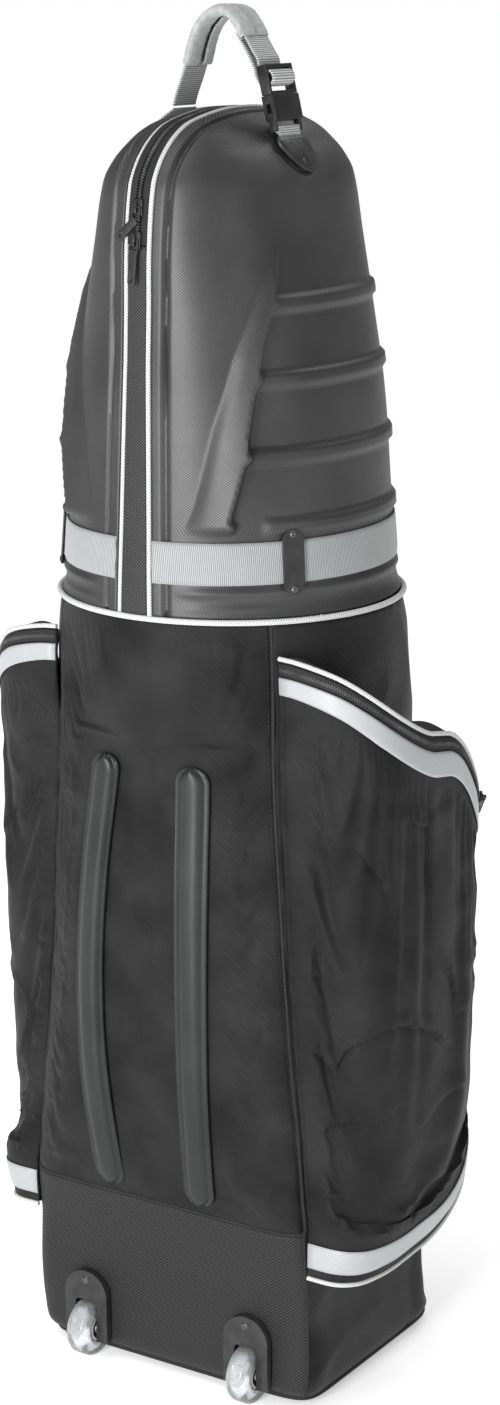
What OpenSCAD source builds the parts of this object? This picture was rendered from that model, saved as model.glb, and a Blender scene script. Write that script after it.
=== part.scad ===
// Wheeled golf travel case: two moulded top shells on a soft fabric body with side pockets.
// Millimetres, +Z up, origin on the floor below the middle of the case.
// -Y is the wheel side that carries the skid rails, +X the right-hand pocket.

/* [Case] */
// Height of the white cord between the fabric body and the hard top
rim_z = 805; // [800:1:812]
// Radius of the ring that this cord makes
rim_r = 170; // [169:0.5:172]
// Wall of the moulded top shells
shell_wall = 3; // [2:0.5:4]
// Padded wall of the fabric body
body_wall = 4; // [3:0.5:5]
// Radius of the piping cords along the shells
cord_r = 2.5; // [2:0.1:2.6]
// Distance from the middle plane to the sewn corner seams of the back panel
seam_y = 118; // [116:1:118]

/* [Belt] */
// Height of the belt's lower edge
belt_z = 840; // [838:1:845]
// Width of the belt
belt_w = 40; // [36:1:40]
// Thickness of all the webbing
web_t = 1.6; // [1.2:0.1:1.8]

/* [Handle] */
// Width of the handle webbing
handle_w = 38; // [34:1:38]
// Distance of the handle's middle from the case's middle, towards the wheels
handle_y = -8; // [-12:1:0]
// Width of the handle's padded grip
pad_w = 46; // [44:1:50]
// Thickness of the handle's padded grip
pad_t = 11; // [9:1:12]

/* [Wheels] */
// Wheel radius
wheel_r = 30; // [28:0.5:30]
// Tread width
wheel_w = 24; // [20:1:24]
// Distance of each wheel from the middle
wheel_x = 98; // [92:1:104]
// Axle radius
axle_r = 4; // [3:0.5:5]

/* [Pockets] */
// Wall of the pocket fabric
pocket_wall = 3; // [2:0.5:3.5]
// Radius of the cords that edge the pockets
pocket_cord_r = 2.2; // [1.8:0.1:2.4]

/* [Skid rails] */
// Width of a rail's sewn flange
rail_w = 34; // [30:1:36]
// Height of a rail above the back panel
rail_h = 6; // [4:0.5:8]
// Height of the rails' lower ends
rail_z0 = 204; // [200:1:215]
// Height of the rails' upper ends
rail_z1 = 660; // [640:5:670]

/* [Hidden] */
$fn = 48;
gap = 0.4;

// Hard top sections: height above the rim, half width, half depth, roundness.
top_shape = [
    [3, 166, 170, 2], [15, 160, 170, 2], [45, 156, 169, 2.05], [95, 150, 167, 2.1],
    [195, 138, 163.5, 2.2], [285, 118, 160, 2.3], [345, 102, 158.5, 2.4], [400, 90, 151.5, 2.5],
    [420, 80, 141, 2.55], [435, 68, 127, 2.6], [445, 60, 113, 2.6], [453, 50, 96, 2.6],
    [459, 39, 70, 2.6], [463, 29, 44, 2.6], [464.5, 21, 26, 2.6]
];
top = [for (r = top_shape) [rim_z + r[0], r[1], r[2], r[2], r[3]]];
top_levels = [3, 15, 45, 70, 95, 145, 195, 240, 285, 315, 345, 400, 420, 435, 445, 453, 459, 463, 464.5];
top_z = rim_z + 464.5;

// Fabric body sections: height, half width, depth at the back, depth at the front, roundness.
body = [
    [3, 160, 92, 146, 12], [8, 164, 106, 150, 12], [20, 167, 118, 148, 12], [45, 168, 119, 132, 12],
    [80, 168, 120, 122, 12], [120, 168, 122, 124, 12], [194, 168, 132, 132, 10], [230, 168, 138, 138, 7],
    [330, 168, 147, 145, 4.2], [430, 168, 150, 150, 3.25], [530, 170, 150, 156, 2.8],
    [660, 173, 148, 162, 2.5], [760, 172, 160, 168, 2.15], [rim_z - 3.5, 168, 169, 170, 2]
];
kick_top = 194;

// Outermost reach of a side pocket by height.
pocket_reach = [
    [90, 200], [150, 220], [200, 235], [300, 243], [500, 245], [600, 242], [700, 235], [775, 226]
];
// Upper and lower edges of a side pocket by angle round it, -90 at the back seam.
pocket_top_edge = [[-90, 768], [-60, 752], [-30, 724], [0, 684], [30, 616], [60, 588], [90, 574]];
pocket_low_edge = [[-90, 152], [-60, 150], [-30, 148], [0, 150], [30, 182], [60, 226], [90, 250]];
pocket_round = 3.5;
pocket_steps = 16;

// The buckles: size of the socket and of the plug's webbing frame.
buckle_w = handle_w + 9;
buckle_t = 12;
socket_l = 24;
frame_l = 28;
bar_r = 2.4;
bar_at = 31;

// Handle route in its own plane: anchor bend on the left, socket bar on the right.
bend_at = [-48, 1268];
bar_pos = [67, 1253];
buckle_tilt = 13.9;
handle_route = [
    [-47.3, 1270.4], [-44.5, 1280], [-38, 1296], [-33, 1310], [-28, 1328], [-21, 1344],
    [-10, 1356], [2, 1360.5], [14, 1358], [23, 1349], [31, 1336], [40.5, 1321.5], [46.5, 1316]
];

// Zip sliders: height of each on the back of the hard top.
slider_l = 15;
slider_w = 10.5;
upper_slider_z = rim_z + 381;
lower_slider_z = rim_z + 351;
pocket_slider_turn = 42;

wheel_y = -121;
hub_r = 18;
bearing_r = 11;
bearing_w = 7;

// ---- Curves and sections ----

function root(v, e) = v <= 0 ? 0 : pow(v, e);
function level(rows, z, k) = lookup(z, [for (r = rows) [r[0], r[k]]]);
function depth(rows, z, front) = level(rows, z, front ? 3 : 2);
function unit(v) = v / norm(v);

// Point of a section at height z and turn th, moved out by o.
function section(rows, z, th, o = 0) =
    let (a = level(rows, z, 1) + o, b = depth(rows, z, sin(th) > 0) + o, p = level(rows, z, 4))
    [
        a * sign(cos(th)) * root(abs(cos(th)), 2 / p),
        b * sign(sin(th)) * root(abs(sin(th)), 2 / p),
        z
    ];

// Half width of a section at depth y, and its depth at half width x.
function width_at(rows, z, y, o = 0) =
    let (a = level(rows, z, 1) + o, b = depth(rows, z, y > 0) + o, p = level(rows, z, 4))
    a * root(1 - root(abs(y) / b, p), 1 / p);
function depth_at(rows, z, x, front, o = 0) =
    let (a = level(rows, z, 1) + o, b = depth(rows, z, front) + o, p = level(rows, z, 4))
    b * root(1 - root(abs(x) / a, p), 1 / p);

// Turn at which a section reaches half width x, or depth y.
function turn_at_x(rows, z, x, o = 0) =
    acos(min(1, root(x / (level(rows, z, 1) + o), level(rows, z, 4) / 2)));
function turn_at_y(rows, z, y, front) =
    asin(min(1, root(y / depth(rows, z, front), level(rows, z, 4) / 2)));

// Half width of the strip between the two shell cords.
function strip_half(z) = lookup(z - rim_z, [[0, 15], [240, 10.5]]);
function shell_edge(z) = strip_half(z) + 2 * cord_r + gap;

// Line over the hard top at half width x, as [y, z], from back height z0 to front height z1.
function arch(x, z0, z1) = concat(
    [[-depth_at(top, z0, x, false), z0]],
    [for (h = top_levels) if (rim_z + h > z0 + 1) [-depth_at(top, rim_z + h, x, false), rim_z + h]],
    [for (i = [len(top_levels) - 1:-1:0]) let (z = rim_z + top_levels[i])
        if (z > z1 + 1) [depth_at(top, z, x, true), z]],
    [[depth_at(top, z1, x, true), z1]]
);

// Line down the front of the fabric body, as [y, z].
function body_front(x, z1) = concat(
    [for (i = [len(body) - 1:-1:0]) if (body[i][0] > z1 + 1) [depth_at(body, body[i][0], x, true), body[i][0]]],
    [[depth_at(body, z1, x, true), z1]]
);

// Sideways direction at each point of a flat line.
function tangent(p, i) = unit(p[min(i + 1, len(p) - 1)] - p[max(i - 1, 0)]);
function beside(p, i, d) = let (t = tangent(p, i)) p[i] + d * [-t[1], t[0]];

// ---- Solids from grids of points ----

function cell(k, i, j, m, n) = k * m * n + i * n + j;
function quad(a, b, c, d) = [[c, b, a], [d, c, a]];

// Closed sheet between an outer grid p and an inner grid q. A capped one ends in two flat lids.
module sheet(p, q, capped = false) {
    m = len(p);
    n = len(p[0]);
    side = cross(p[0][1] - p[0][0], p[1][0] - p[0][0]) * (p[0][0] - q[0][0]);
    walls = [
        for (i = [0:m - 2], j = [0:n - 2], k = [0, 1])
            let (a = cell(k, i, j, m, n), b = cell(k, i, j + 1, m, n))
            let (c = cell(k, i + 1, j + 1, m, n), d = cell(k, i + 1, j, m, n))
            each (k == 0 ? quad(a, b, c, d) : quad(d, c, b, a))
    ];
    ends = [
        for (i = [0:m - 2], j = [0, n - 1])
            let (a = cell(0, i, j, m, n), b = cell(0, i + 1, j, m, n))
            let (c = cell(1, i + 1, j, m, n), d = cell(1, i, j, m, n))
            each (j == 0 ? quad(a, b, c, d) : quad(d, c, b, a))
    ];
    rims = [
        for (j = [0:n - 2], i = capped ? [0] : [0, m - 1])
            let (a = cell(0, i, j + 1, m, n), b = cell(0, i, j, m, n))
            let (c = cell(1, i, j, m, n), d = cell(1, i, j + 1, m, n))
            each (i == 0 ? quad(a, b, c, d) : quad(d, c, b, a))
    ];
    last = m - 1;
    lids = !capped ? [] : concat(
        [for (j = [1:n - 2]) [cell(0, last, j + 1, m, n), cell(0, last, j, m, n), cell(0, last, 0, m, n)]],
        [for (j = [1:n - 2]) [cell(1, last, 0, m, n), cell(1, last, j, m, n), cell(1, last, j + 1, m, n)]],
        quad(cell(0, last, 0, m, n), cell(0, last, n - 1, m, n), cell(1, last, n - 1, m, n), cell(1, last, 0, m, n))
    );
    faces = concat(walls, ends, rims, lids);
    polyhedron(
        concat([for (r = p) each r], [for (r = q) each r]),
        side > 0 ? faces : [for (f = faces) [f[2], f[1], f[0]]],
        convexity = 6
    );
}

// Round cord along a line of points. The line never runs along the direction up.
module cord(line, r, up, sides = 6) {
    m = len(line);
    rings = [
        for (i = [0:m - 1])
            let (t = unit(line[min(i + 1, m - 1)] - line[max(i - 1, 0)]), u = unit(cross(up, t)), v = cross(t, u))
            [for (k = [0:sides - 1]) line[i] + r * (cos(k * 360 / sides) * u + sin(k * 360 / sides) * v)]
    ];
    faces = concat(
        [for (i = [0:m - 2], k = [0:sides - 1])
            let (l = (k + 1) % sides)
            each quad(i * sides + k, i * sides + l, (i + 1) * sides + l, (i + 1) * sides + k)],
        [[for (k = [0:sides - 1]) k]],
        [[for (k = [sides - 1:-1:0]) (m - 1) * sides + k]]
    );
    polyhedron([for (r = rings) each r], faces, convexity = 6);
}

// Flat strip in the middle plane from x0 to x1, between distances d0 and d1 from a line of [y, z].
module arch_strip(line, x0, x1, d0, d1) {
    n = len(line) - 1;
    sheet(
        [for (i = [0:n]) [for (x = [x0, x1]) let (b = beside(line, i, d1)) [x, b[0], b[1]]]],
        [for (i = [0:n]) [for (x = [x0, x1]) let (b = beside(line, i, d0)) [x, b[0], b[1]]]]
    );
}

// Places children on the hard top with +X out of the surface and +Z up along it.
module on_top(z, th, o = 0) {
    y_dir = unit(section(top, z, th + 1) - section(top, z, th - 1));
    up = section(top, z + 4, th) - section(top, z - 4, th);
    out = unit(cross(y_dir, up));
    z_dir = cross(out, y_dir);
    at = section(top, z, th) + o * out;
    multmatrix([
        [out[0], y_dir[0], z_dir[0], at[0]],
        [out[1], y_dir[1], z_dir[1], at[1]],
        [out[2], y_dir[2], z_dir[2], at[2]],
        [0, 0, 0, 1]
    ]) children();
}

// Mirrors its children to the left for side -1.
module sided(side) {
    if (side < 0) mirror([1, 0, 0]) children();
    else children();
}

// Extrudes a [y, z] outline along +X.
module along_x(h) { rotate([90, 0, 90]) linear_extrude(h) children(); }

// Extrudes an [x, z] outline along Y, centred on the handle.
module across(w) { translate([0, handle_y + w / 2, 0]) rotate([90, 0, 0]) linear_extrude(w) children(); }

module rivet_head(r = 4.2) { rotate([0, 90, 0]) cylinder(r1 = r, r2 = r * 0.6, h = 1.7); }

// ---- Hard top ----

function shell_row(h, o, drop) =
    let (z = rim_z + h, e = turn_at_x(top, z, shell_edge(z), o))
    [for (j = [0:20]) section(top, z, -e + j * e / 10, o) - [0, 0, drop]];

module hard_shell() {
    sheet(
        [for (h = top_levels) shell_row(h, 0, 0)],
        [for (h = top_levels) shell_row(h, -shell_wall, shell_wall * max(0, min(1, (h - 400) / 40)))],
        capped = true
    );
}
module shell_left() { color("#26272a") mirror([1, 0, 0]) hard_shell(); }
module shell_right() { color("#26272a") hard_shell(); }

module shell_pipings() {
    color("#dcdedd") for (s = [-1, 1]) sided(s) {
        x = strip_half(rim_z + 240) + cord_r + gap / 2;
        line = arch(x, rim_z + 5, rim_z + 5);
        cord([for (p = line) [strip_half(p[1]) + cord_r + gap / 2, p[0], p[1]]], cord_r, [1, 0, 0]);
    }
}

module back_strip() {
    levels = [for (h = top_levels) if (h <= 345) rim_z + h];
    color("#2c2d30") sheet(
        [for (z = levels) [for (k = [-1, 0, 1]) let (x = k * (strip_half(z) - gap / 2))
            [x, -depth_at(top, z, x, false), z]]],
        [for (z = levels) [for (k = [-1, 0, 1]) let (x = k * (strip_half(z) - gap / 2))
            [x, -depth_at(top, z, x, false) + web_t, z]]]
    );
}

zip_line = concat(arch(6, rim_z + 347, rim_z + 3), body_front(6, 110));

module zip_tapes() {
    color("#1c1d1f") for (s = [-1, 1]) sided(s) arch_strip(zip_line, 3.4, 10.1, -0.8, 0.2);
}
module zip_chain() { color("#3a3b3d") arch_strip(zip_line, -3, 3, -1, 1.4); }

module rim_piping() {
    color("#dcdedd") translate([0, 0, rim_z]) rotate([0, 0, 97])
        rotate_extrude(angle = 346) translate([rim_r, 0]) circle(r = 2.9);
}

// ---- Belt round the hard top ----

function belt_row(z, o) =
    let (e = turn_at_x(top, z, shell_edge(z) + 1), f = turn_at_x(top, z, shell_edge(z) + 4))
    [for (j = [0:20]) section(top, z, -e + j * (e + f) / 20, o)];

module belt_half() {
    sheet(
        [for (k = [0, 1]) belt_row(belt_z + k * belt_w, 1 + web_t)],
        [for (k = [0, 1]) belt_row(belt_z + k * belt_w, 1)]
    );
}
module belt_left() { color("#b9bdbd") mirror([1, 0, 0]) belt_half(); }
module belt_right() { color("#b9bdbd") belt_half(); }

keeper_turn = -34;
keeper_half = belt_w / 2 + 11;
rivet_at = belt_w / 2 + 6;
module at_keeper() { on_top(belt_z + belt_w / 2, keeper_turn) children(); }

module keeper() {
    at_keeper() difference() {
        union() {
            translate([3.4, 0, 0]) along_x(2) hull()
                for (s = [-1, 1]) translate([0, s * (keeper_half - 11)]) circle(r = 11);
            for (s = [-1, 1]) translate([0.9, 0, s * rivet_at]) rotate([0, 90, 0]) cylinder(r = 4.3, h = 3);
        }
        for (s = [-1, 1]) translate([0, 0, s * rivet_at]) rotate([0, 90, 0]) cylinder(r = 2.05, h = 8);
    }
}
module keeper_left() { color("#1d1e20") mirror([1, 0, 0]) keeper(); }
module keeper_right() { color("#1d1e20") keeper(); }
module keeper_rivets() {
    color("#2e3032") for (side = [-1, 1]) sided(side) at_keeper() for (s = [-1, 1]) translate([0, 0, s * rivet_at]) {
        translate([1, 0, 0]) rotate([0, 90, 0]) cylinder(r = 2, h = 4.4);
        translate([5.4, 0, 0]) rivet_head();
    }
}

// ---- Side-release buckle: Z along it, Y across it, X out of its face ----

module buckle_socket() {
    inner = buckle_w - 8;
    difference() {
        translate([-buckle_t / 2, -buckle_w / 2, -socket_l]) cube([buckle_t, buckle_w, socket_l]);
        translate([-4.8, -inner / 2, -socket_l + 2]) cube([9.6, inner, socket_l]);
        translate([-3, -buckle_w, -17]) cube([6, 2 * buckle_w, 9]);
    }
    for (s = [-1, 1]) translate([-bar_r - 0.8, s * (buckle_w / 2 - 2) - 2, -bar_at - 3.2])
        cube([2 * bar_r + 1.6, 4, bar_at + 3.2 - socket_l + 0.5]);
    translate([0, buckle_w / 2 - 1, -bar_at]) rotate([90, 0, 0]) cylinder(r = bar_r, h = buckle_w - 2);
}

module buckle_plug() {
    difference() {
        translate([-5, -buckle_w / 2, 0.4]) cube([10, buckle_w, frame_l]);
        for (z = [3.4, 19]) translate([-8, -handle_w / 2 - 0.5, z]) cube([16, handle_w + 1, z < 10 ? 9.5 : 6]);
    }
    translate([-4.3, -4, -18]) cube([3.6, 8, 18.6]);
    for (s = [-1, 1]) translate([-4.3, s * 14 - 3, -19]) cube([3.6, 6, 19.6]);
}

module at_socket() {
    translate([bar_pos[0], handle_y, bar_pos[1]]) rotate([0, -buckle_tilt, 0]) translate([0, 0, bar_at]) children();
}
module handle_socket() { color("#161719") at_socket() buckle_socket(); }
module handle_plug() { color("#161719") at_socket() buckle_plug(); }

module at_front() {
    translate([0, depth_at(top, belt_z + belt_w / 2, 0, true) + 12.5, belt_z + belt_w / 2])
        rotate([0, 0, 90]) rotate([90, 0, 0]) children();
}
module belt_socket() { color("#161719") at_front() buckle_socket(); }
module belt_plug() { color("#161719") at_front() buckle_plug(); }

// ---- Handle ----

// Outline of a strip of thickness t along part of a route.
function strip(route, t, from, to) = concat(
    [for (i = [from:to]) beside(route, i, t / 2)],
    [for (i = [to:-1:from]) beside(route, i, -t / 2)]
);

module handle_webbing() {
    color("#9fa3a3") across(handle_w) polygon(strip(handle_route, web_t, 0, len(handle_route) - 1));
}
module handle_pad() {
    last = len(handle_route) - 3;
    color("#a9adae") difference() {
        across(pad_w) polygon(strip(handle_route, pad_t, 3, last));
        across(handle_w + 0.8) polygon(strip(handle_route, web_t + 0.6, 2, last + 1));
    }
}

plate_at = [77.5, 1230];
plate_tilt = 30;
plate_rivet_spots = [[-9, 8], [9, 8], [0, -11]];
module at_plate() { translate([plate_at[0], handle_y, plate_at[1]]) rotate([0, -plate_tilt, 0]) children(); }

module anchor_plate() {
    at_plate() difference() {
        translate([1.2, 0, 0]) along_x(2.6) hull() {
            for (s = [-1, 1]) translate([s * 17, 9]) circle(r = 6);
            translate([0, -12]) circle(r = 7);
        }
        for (p = plate_rivet_spots) translate([0, p[0], p[1]]) rotate([0, 90, 0]) cylinder(r = 2.05, h = 8);
    }
}
module plate_left() { color("#1d1e20") mirror([1, 0, 0]) anchor_plate(); }
module plate_right() { color("#1d1e20") anchor_plate(); }
module plate_rivets() {
    color("#2e3032") for (side = [-1, 1]) sided(side) at_plate() for (p = plate_rivet_spots) translate([0, p[0], p[1]]) {
        translate([1.3, 0, 0]) rotate([0, 90, 0]) cylinder(r = 2, h = 2.5);
        translate([3.8, 0, 0]) rivet_head(3.6);
    }
}

// The left tab ends in a sewn roll, which the handle webbing bends round.
left_tab = [[-71.2, 1246.1], [-65, 1254.5], [-57.5, 1260.5], [-50.5, 1264.9], [-48.4, 1267.2]];
module anchor_tab_left() {
    color("#9fa3a3") across(handle_w) {
        polygon(strip(left_tab, web_t, 0, 4));
        translate(bend_at) circle(r = 1.5);
    }
}
module anchor_tab_right() {
    foot = [plate_at[0] - 6.3, plate_at[1] + 16.3];
    color("#9fa3a3") across(handle_w) difference() {
        union() {
            translate(bar_pos) circle(r = bar_r + 0.3 + web_t);
            polygon([
                bar_pos + [bar_r + 0.4, 0], bar_pos + [bar_r + 0.3 + web_t, 0],
                foot + [web_t, 0.9], foot
            ]);
        }
        translate(bar_pos) circle(r = bar_r + 0.3);
    }
}

// ---- Zip sliders: X out of the surface, Y the way they travel, Z across ----

module slider_body() {
    translate([0, -slider_l / 2, -slider_w / 2]) cube([2.2, slider_l, slider_w]);
    for (s = [-1, 1]) translate([-1.2, -slider_l / 2, s * 4.4 - 0.6]) cube([1.3, slider_l, 1.2]);
    for (y = [-5.5, 3.5]) translate([2.1, y, -1.5]) cube([3, 2, 3]);
    translate([5, -5.5, -1.5]) cube([1.2, 11, 3]);
}
module pull_tab(length, lean = 0) {
    translate([3.5, 0, -4.5]) cylinder(r = 0.8, h = 9);
    for (s = [-1, 1]) translate([2.7, -10, s * 3.9 - 0.6]) cube([1.6, 10, 1.2]);
    translate([2.7, -12, -4.5]) cube([1.6, 2.4, 9]);
    difference() {
        translate([2.5, -11.5, 0]) rotate([lean, 0, 0]) translate([0, -length, -4]) union() {
            translate([0, 4, 0]) cube([2.4, length - 4, 8]);
            translate([0, 4, 4]) rotate([0, 90, 0]) cylinder(r = 4, h = 2.4);
        }
        translate([2.5, -11.5, 0]) rotate([lean, 0, 0]) translate([-1, -length + 4.5, 0])
            rotate([0, 90, 0]) cylinder(r = 1.6, h = 5);
    }
}

// Straight stretch of zip up the back: the sliders run along it.
run_foot = [-depth_at(top, rim_z + 345, 0, false), rim_z + 345];
run_head = [-depth_at(top, rim_z + 400, 0, false), rim_z + 400];
run_slope = atan2(run_head[0] - run_foot[0], run_head[1] - run_foot[1]);
module at_run(z) {
    y = run_foot[0] + (z - run_foot[1]) * tan(run_slope);
    translate([0, y, z]) rotate([-run_slope, 0, 0]) translate([0, -2, 0]) multmatrix([
        [0, 0, 1, 0], [-1, 0, 0, 0], [0, 1, 0, 0], [0, 0, 0, 1]
    ]) mirror([0, 0, 1]) children();
}
module upper_slider() { color("#1a1b1d") at_run(upper_slider_z) slider_body(); }
module upper_pull() { color("#101113") at_run(upper_slider_z) pull_tab(26, -45); }
module lower_slider() { color("#1a1b1d") at_run(lower_slider_z) slider_body(); }
module lower_pull() { color("#101113") at_run(lower_slider_z) pull_tab(30); }

// ---- Fabric body ----

back_levels = [kick_top + 2.5, 230, 280, 330, 380, 430, 480, 530, 595, 660, 710, 760, rim_z - 3.5];
function seam_turn(z) = turn_at_y(body, z, seam_y, false);

function back_row(z, o) =
    let (e = 90 - seam_turn(z) - 0.25) [for (j = [0:14]) section(body, z, -90 - e + j * e / 7, o)];

module back_panel() {
    color("#202124") sheet([for (z = back_levels) back_row(z, 0)], [for (z = back_levels) back_row(z, -body_wall)]);
}

kick_half = 157;
module kick_panel() {
    levels = [3, 8, 20, 45, 80, 120, 157, kick_top - 1];
    color("#26272a") difference() {
        sheet(
            [for (z = levels) [for (j = [-8:8]) let (x = kick_half * sin(j * 90 / 8))
                [x, -depth_at(body, z, x, false), z]]],
            [for (z = levels) [for (j = [-8:8]) let (x = (kick_half - 2) * sin(j * 90 / 8))
                [x, -depth_at(body, z, x, false) + body_wall, z]]]
        );
        for (s = [-1, 1]) translate([s * wheel_x - 17.2, -150, -10]) cube([34.4, 90, 78.5]);
    }
}

side_levels = [
    3, 8, 20, 45, 80, 120, 157, kick_top - 0.4, kick_top + 1.6, 230, 280, 330, 430, 530, 595, 660, 710, 760, rim_z - 3.5
];
function side_row(z, o) =
    let (start = z < kick_top ? turn_at_x(body, z, kick_half + 1) : seam_turn(z) - 0.25)
    let (end = turn_at_x(body, z, 11))
    [for (j = [0:20]) section(body, z, -start + j * (start + end) / 20, o)];

module side_wall() {
    sheet([for (z = side_levels) side_row(z, 0)], [for (z = side_levels) side_row(z, -body_wall)]);
}
module side_wall_left() { color("#1c1d20") mirror([1, 0, 0]) side_wall(); }
module side_wall_right() { color("#1c1d20") side_wall(); }

module base_outline(half, back, front, r) {
    for (x = [-1, 1], y = [back + r, front - r]) translate([x * (half - r), y]) circle(r = r);
    translate([-half + r, back]) square([2 * half - 2 * r, front - back]);
    translate([-half, back + r]) square([2 * half, front - back - 2 * r]);
}
// Floor of the case, with a tongue that closes the front below the zip.
module base_skin() {
    levels = [3, 8, 20, 45, 80, 106];
    color("#17181a") {
        linear_extrude(2) base_outline(157, -84, 140, 40);
        sheet(
            [for (z = levels) [for (x = [-10.6, 10.6]) [x, depth_at(body, z, x, true), z]]],
            [for (z = levels) [for (x = [-10.6, 10.6]) [x, depth_at(body, z, x, true) - 2, z]]]
        );
    }
}
module base_board() { color("#303236") translate([0, 0, 8]) linear_extrude(3) base_outline(150, -80, 110, 35); }

// ---- Skid rails ----

// Middle of a rail at height z: it bows outwards by bow at mid height.
function rail_x(z, side, bow) = side * (50 + bow * sin(180 * (z - rail_z0) / (rail_z1 - rail_z0)));
// The rail narrows to round ends.
function rail_taper(z) =
    let (d = min(z - rail_z0, rail_z1 - z), r = rail_w / 2) d > r ? 1 : sqrt(max(0.09, 1 - pow(1 - d / r, 2)));

module rail(side, bow) {
    levels = concat([for (d = [0, 4, 10]) rail_z0 + d], [for (k = [0:13]) rail_z0 + 20 + k * (rail_z1 - rail_z0 - 40) / 13],
        [for (d = [10, 4, 0]) rail_z1 - d]);
    steps = [[-1, 2], [-0.72, 2], [-0.5, rail_h], [0, rail_h + 0.6], [0.5, rail_h], [0.72, 2], [1, 2]];
    function row(z, inner) = [for (s = steps)
        let (x = rail_x(z, side, bow) + s[0] * rail_w / 2 * rail_taper(z))
        [x, -depth_at(body, z, x, false) - (inner ? 1 : s[1]), z]];
    sheet([for (z = levels) row(z, false)], [for (z = levels) row(z, true)]);
}
module rail_left() { color("#2b2d30") rail(-1, 22); }
module rail_right() { color("#2b2d30") rail(1, 3); }

// ---- Wheels ----

module at_wheel(side) { translate([side * wheel_x, wheel_y, wheel_r]) rotate([0, 90, 0]) children(); }

module tyre(side) {
    crown = 7;
    color([0.82, 0.84, 0.86, 0.5]) at_wheel(side) rotate_extrude() intersection() {
        union() {
            translate([hub_r - 5, -wheel_w / 2]) square([wheel_r - crown - hub_r + 5, wheel_w]);
            translate([wheel_r - crown - 0.1, -wheel_w / 2 + crown]) square([crown + 0.1, wheel_w - 2 * crown]);
            for (y = [-1, 1]) translate([wheel_r - crown, y * (wheel_w / 2 - crown)]) circle(r = crown);
        }
        translate([hub_r, -wheel_w]) square([wheel_r, 2 * wheel_w]);
    }
}
module hub(side) {
    color("#d7d9da") at_wheel(side) rotate_extrude() union() {
        translate([hub_r - 2.5, -wheel_w / 2 + 1]) square([2.5, wheel_w - 2]);
        translate([bearing_r, -wheel_w / 2 + 1]) square([2, wheel_w - 2]);
        translate([bearing_r, -2]) square([hub_r - bearing_r, 4]);
        translate([bearing_r - 2, -4]) square([2.1, 8]);
    }
}
module bearings(side) {
    color("#9a9da1") for (s = [-1, 1]) at_wheel(side) translate([0, 0, s * 7.6 - bearing_w / 2])
        rotate_extrude() translate([axle_r + 0.05, 0]) square([bearing_r - axle_r - 0.05, bearing_w]);
}
module axle(side) { color("#b8babd") at_wheel(side) translate([0, 0, -17.1]) cylinder(r = axle_r, h = 34.2); }
module tyre_left() { tyre(-1); }
module tyre_right() { tyre(1); }
module hub_left() { hub(-1); }
module hub_right() { hub(1); }
module bearings_left() { bearings(-1); }
module bearings_right() { bearings(1); }
module axle_left() { axle(-1); }
module axle_right() { axle(1); }

plate_out = -129;
module housing(side) {
    color("#1b1c1e") translate([side * wheel_x, 0, 0]) difference() {
        union() {
            translate([0, plate_out + 7.5, 0]) rotate([90, 0, 0]) linear_extrude(7.5) union() {
                translate([0, 68]) circle(r = 26);
                translate([-26, 18]) square([52, 50]);
            }
            for (s = [-1, 1]) translate([s * 14.9 - 1.7, plate_out + 7, 14]) cube([3.4, 36, 53]);
            translate([-16.6, plate_out + 7, 64]) cube([33.2, 36, 3]);
        }
        translate([-13.2, plate_out - 5, -1]) cube([26.4, 20, 58]);
        translate([0, plate_out + 15, 57]) rotate([90, 0, 0]) linear_extrude(20) hull()
            for (x = [-1, 1]) translate([x * 8.2, 0]) circle(r = 5);
        translate([-18, wheel_y, wheel_r]) rotate([0, 90, 0]) cylinder(r = axle_r, h = 36);
    }
}
module housing_left() { housing(-1); }
module housing_right() { housing(1); }
module housing_rivets() {
    color("#3a3c3f") for (s = [-1, 1]) translate([s * wheel_x, plate_out, 84]) rotate([0, 0, -90]) rivet_head(5);
}

// ---- Side pockets, drawn on the right ----

// Point of the pocket's outside at height z and turn th, moved out by o.
function pocket_point(z, th, o = 0) =
    let (x0 = width_at(body, z, -seam_y + 6) + 1)
    let (front = depth_at(body, z, x0, true) + pocket_wall + 0.4, mid = (front - seam_y) / 2)
    let (a = lookup(z, pocket_reach) - x0 + o, b = (front + seam_y) / 2 + o, e = 2 / pocket_round)
    [x0 + a * root(cos(th), e), mid + b * sign(sin(th)) * root(abs(sin(th)), e), z];

pocket_turns = [for (j = [0:pocket_steps]) -90 + j * 180 / pocket_steps];
function high(th) = lookup(th, pocket_top_edge);
function low(th) = lookup(th, pocket_low_edge);

module pocket_skin() {
    heights = [0, 0.04, 0.1, 0.2, 0.35, 0.5, 0.65, 0.8, 0.92, 1];
    function row(k, o) = [for (th = pocket_turns) pocket_point(low(th) + k * (high(th) - low(th)), th, o)];
    sheet([for (k = heights) row(k, 0)], [for (k = heights) row(k, -pocket_wall)]);
}
// Band that follows a pocket's outside between two heights given by turn.
module pocket_band(lower, upper, o0, o1) {
    n = len(pocket_turns) - 1;
    sheet(
        [for (z = [lower, (lower + upper) / 2, upper]) [for (j = [0:n]) pocket_point(z[j], pocket_turns[j], o1)]],
        [for (z = [lower, (lower + upper) / 2, upper]) [for (j = [0:n]) pocket_point(z[j], pocket_turns[j], o0)]]
    );
}
// Lid or floor of a pocket, from its outside in to the body.
module pocket_lid(heights) {
    n = len(pocket_turns) - 1;
    function point(j, k, d) =
        let (p = pocket_point(heights[j], pocket_turns[j], -pocket_wall - gap))
        let (x = min(p[0] - 0.5, width_at(body, p[2], p[1]) + 1.5))
        [p[0] + k * (x - p[0]), p[1], p[2] + d];
    inner = [for (j = [1:n - 1]) j];
    sheet(
        [for (k = [0, 0.5, 1]) [for (j = inner) point(j, k, 2)]],
        [for (k = [0, 0.5, 1]) [for (j = inner) point(j, k, 0)]]
    );
}

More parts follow.
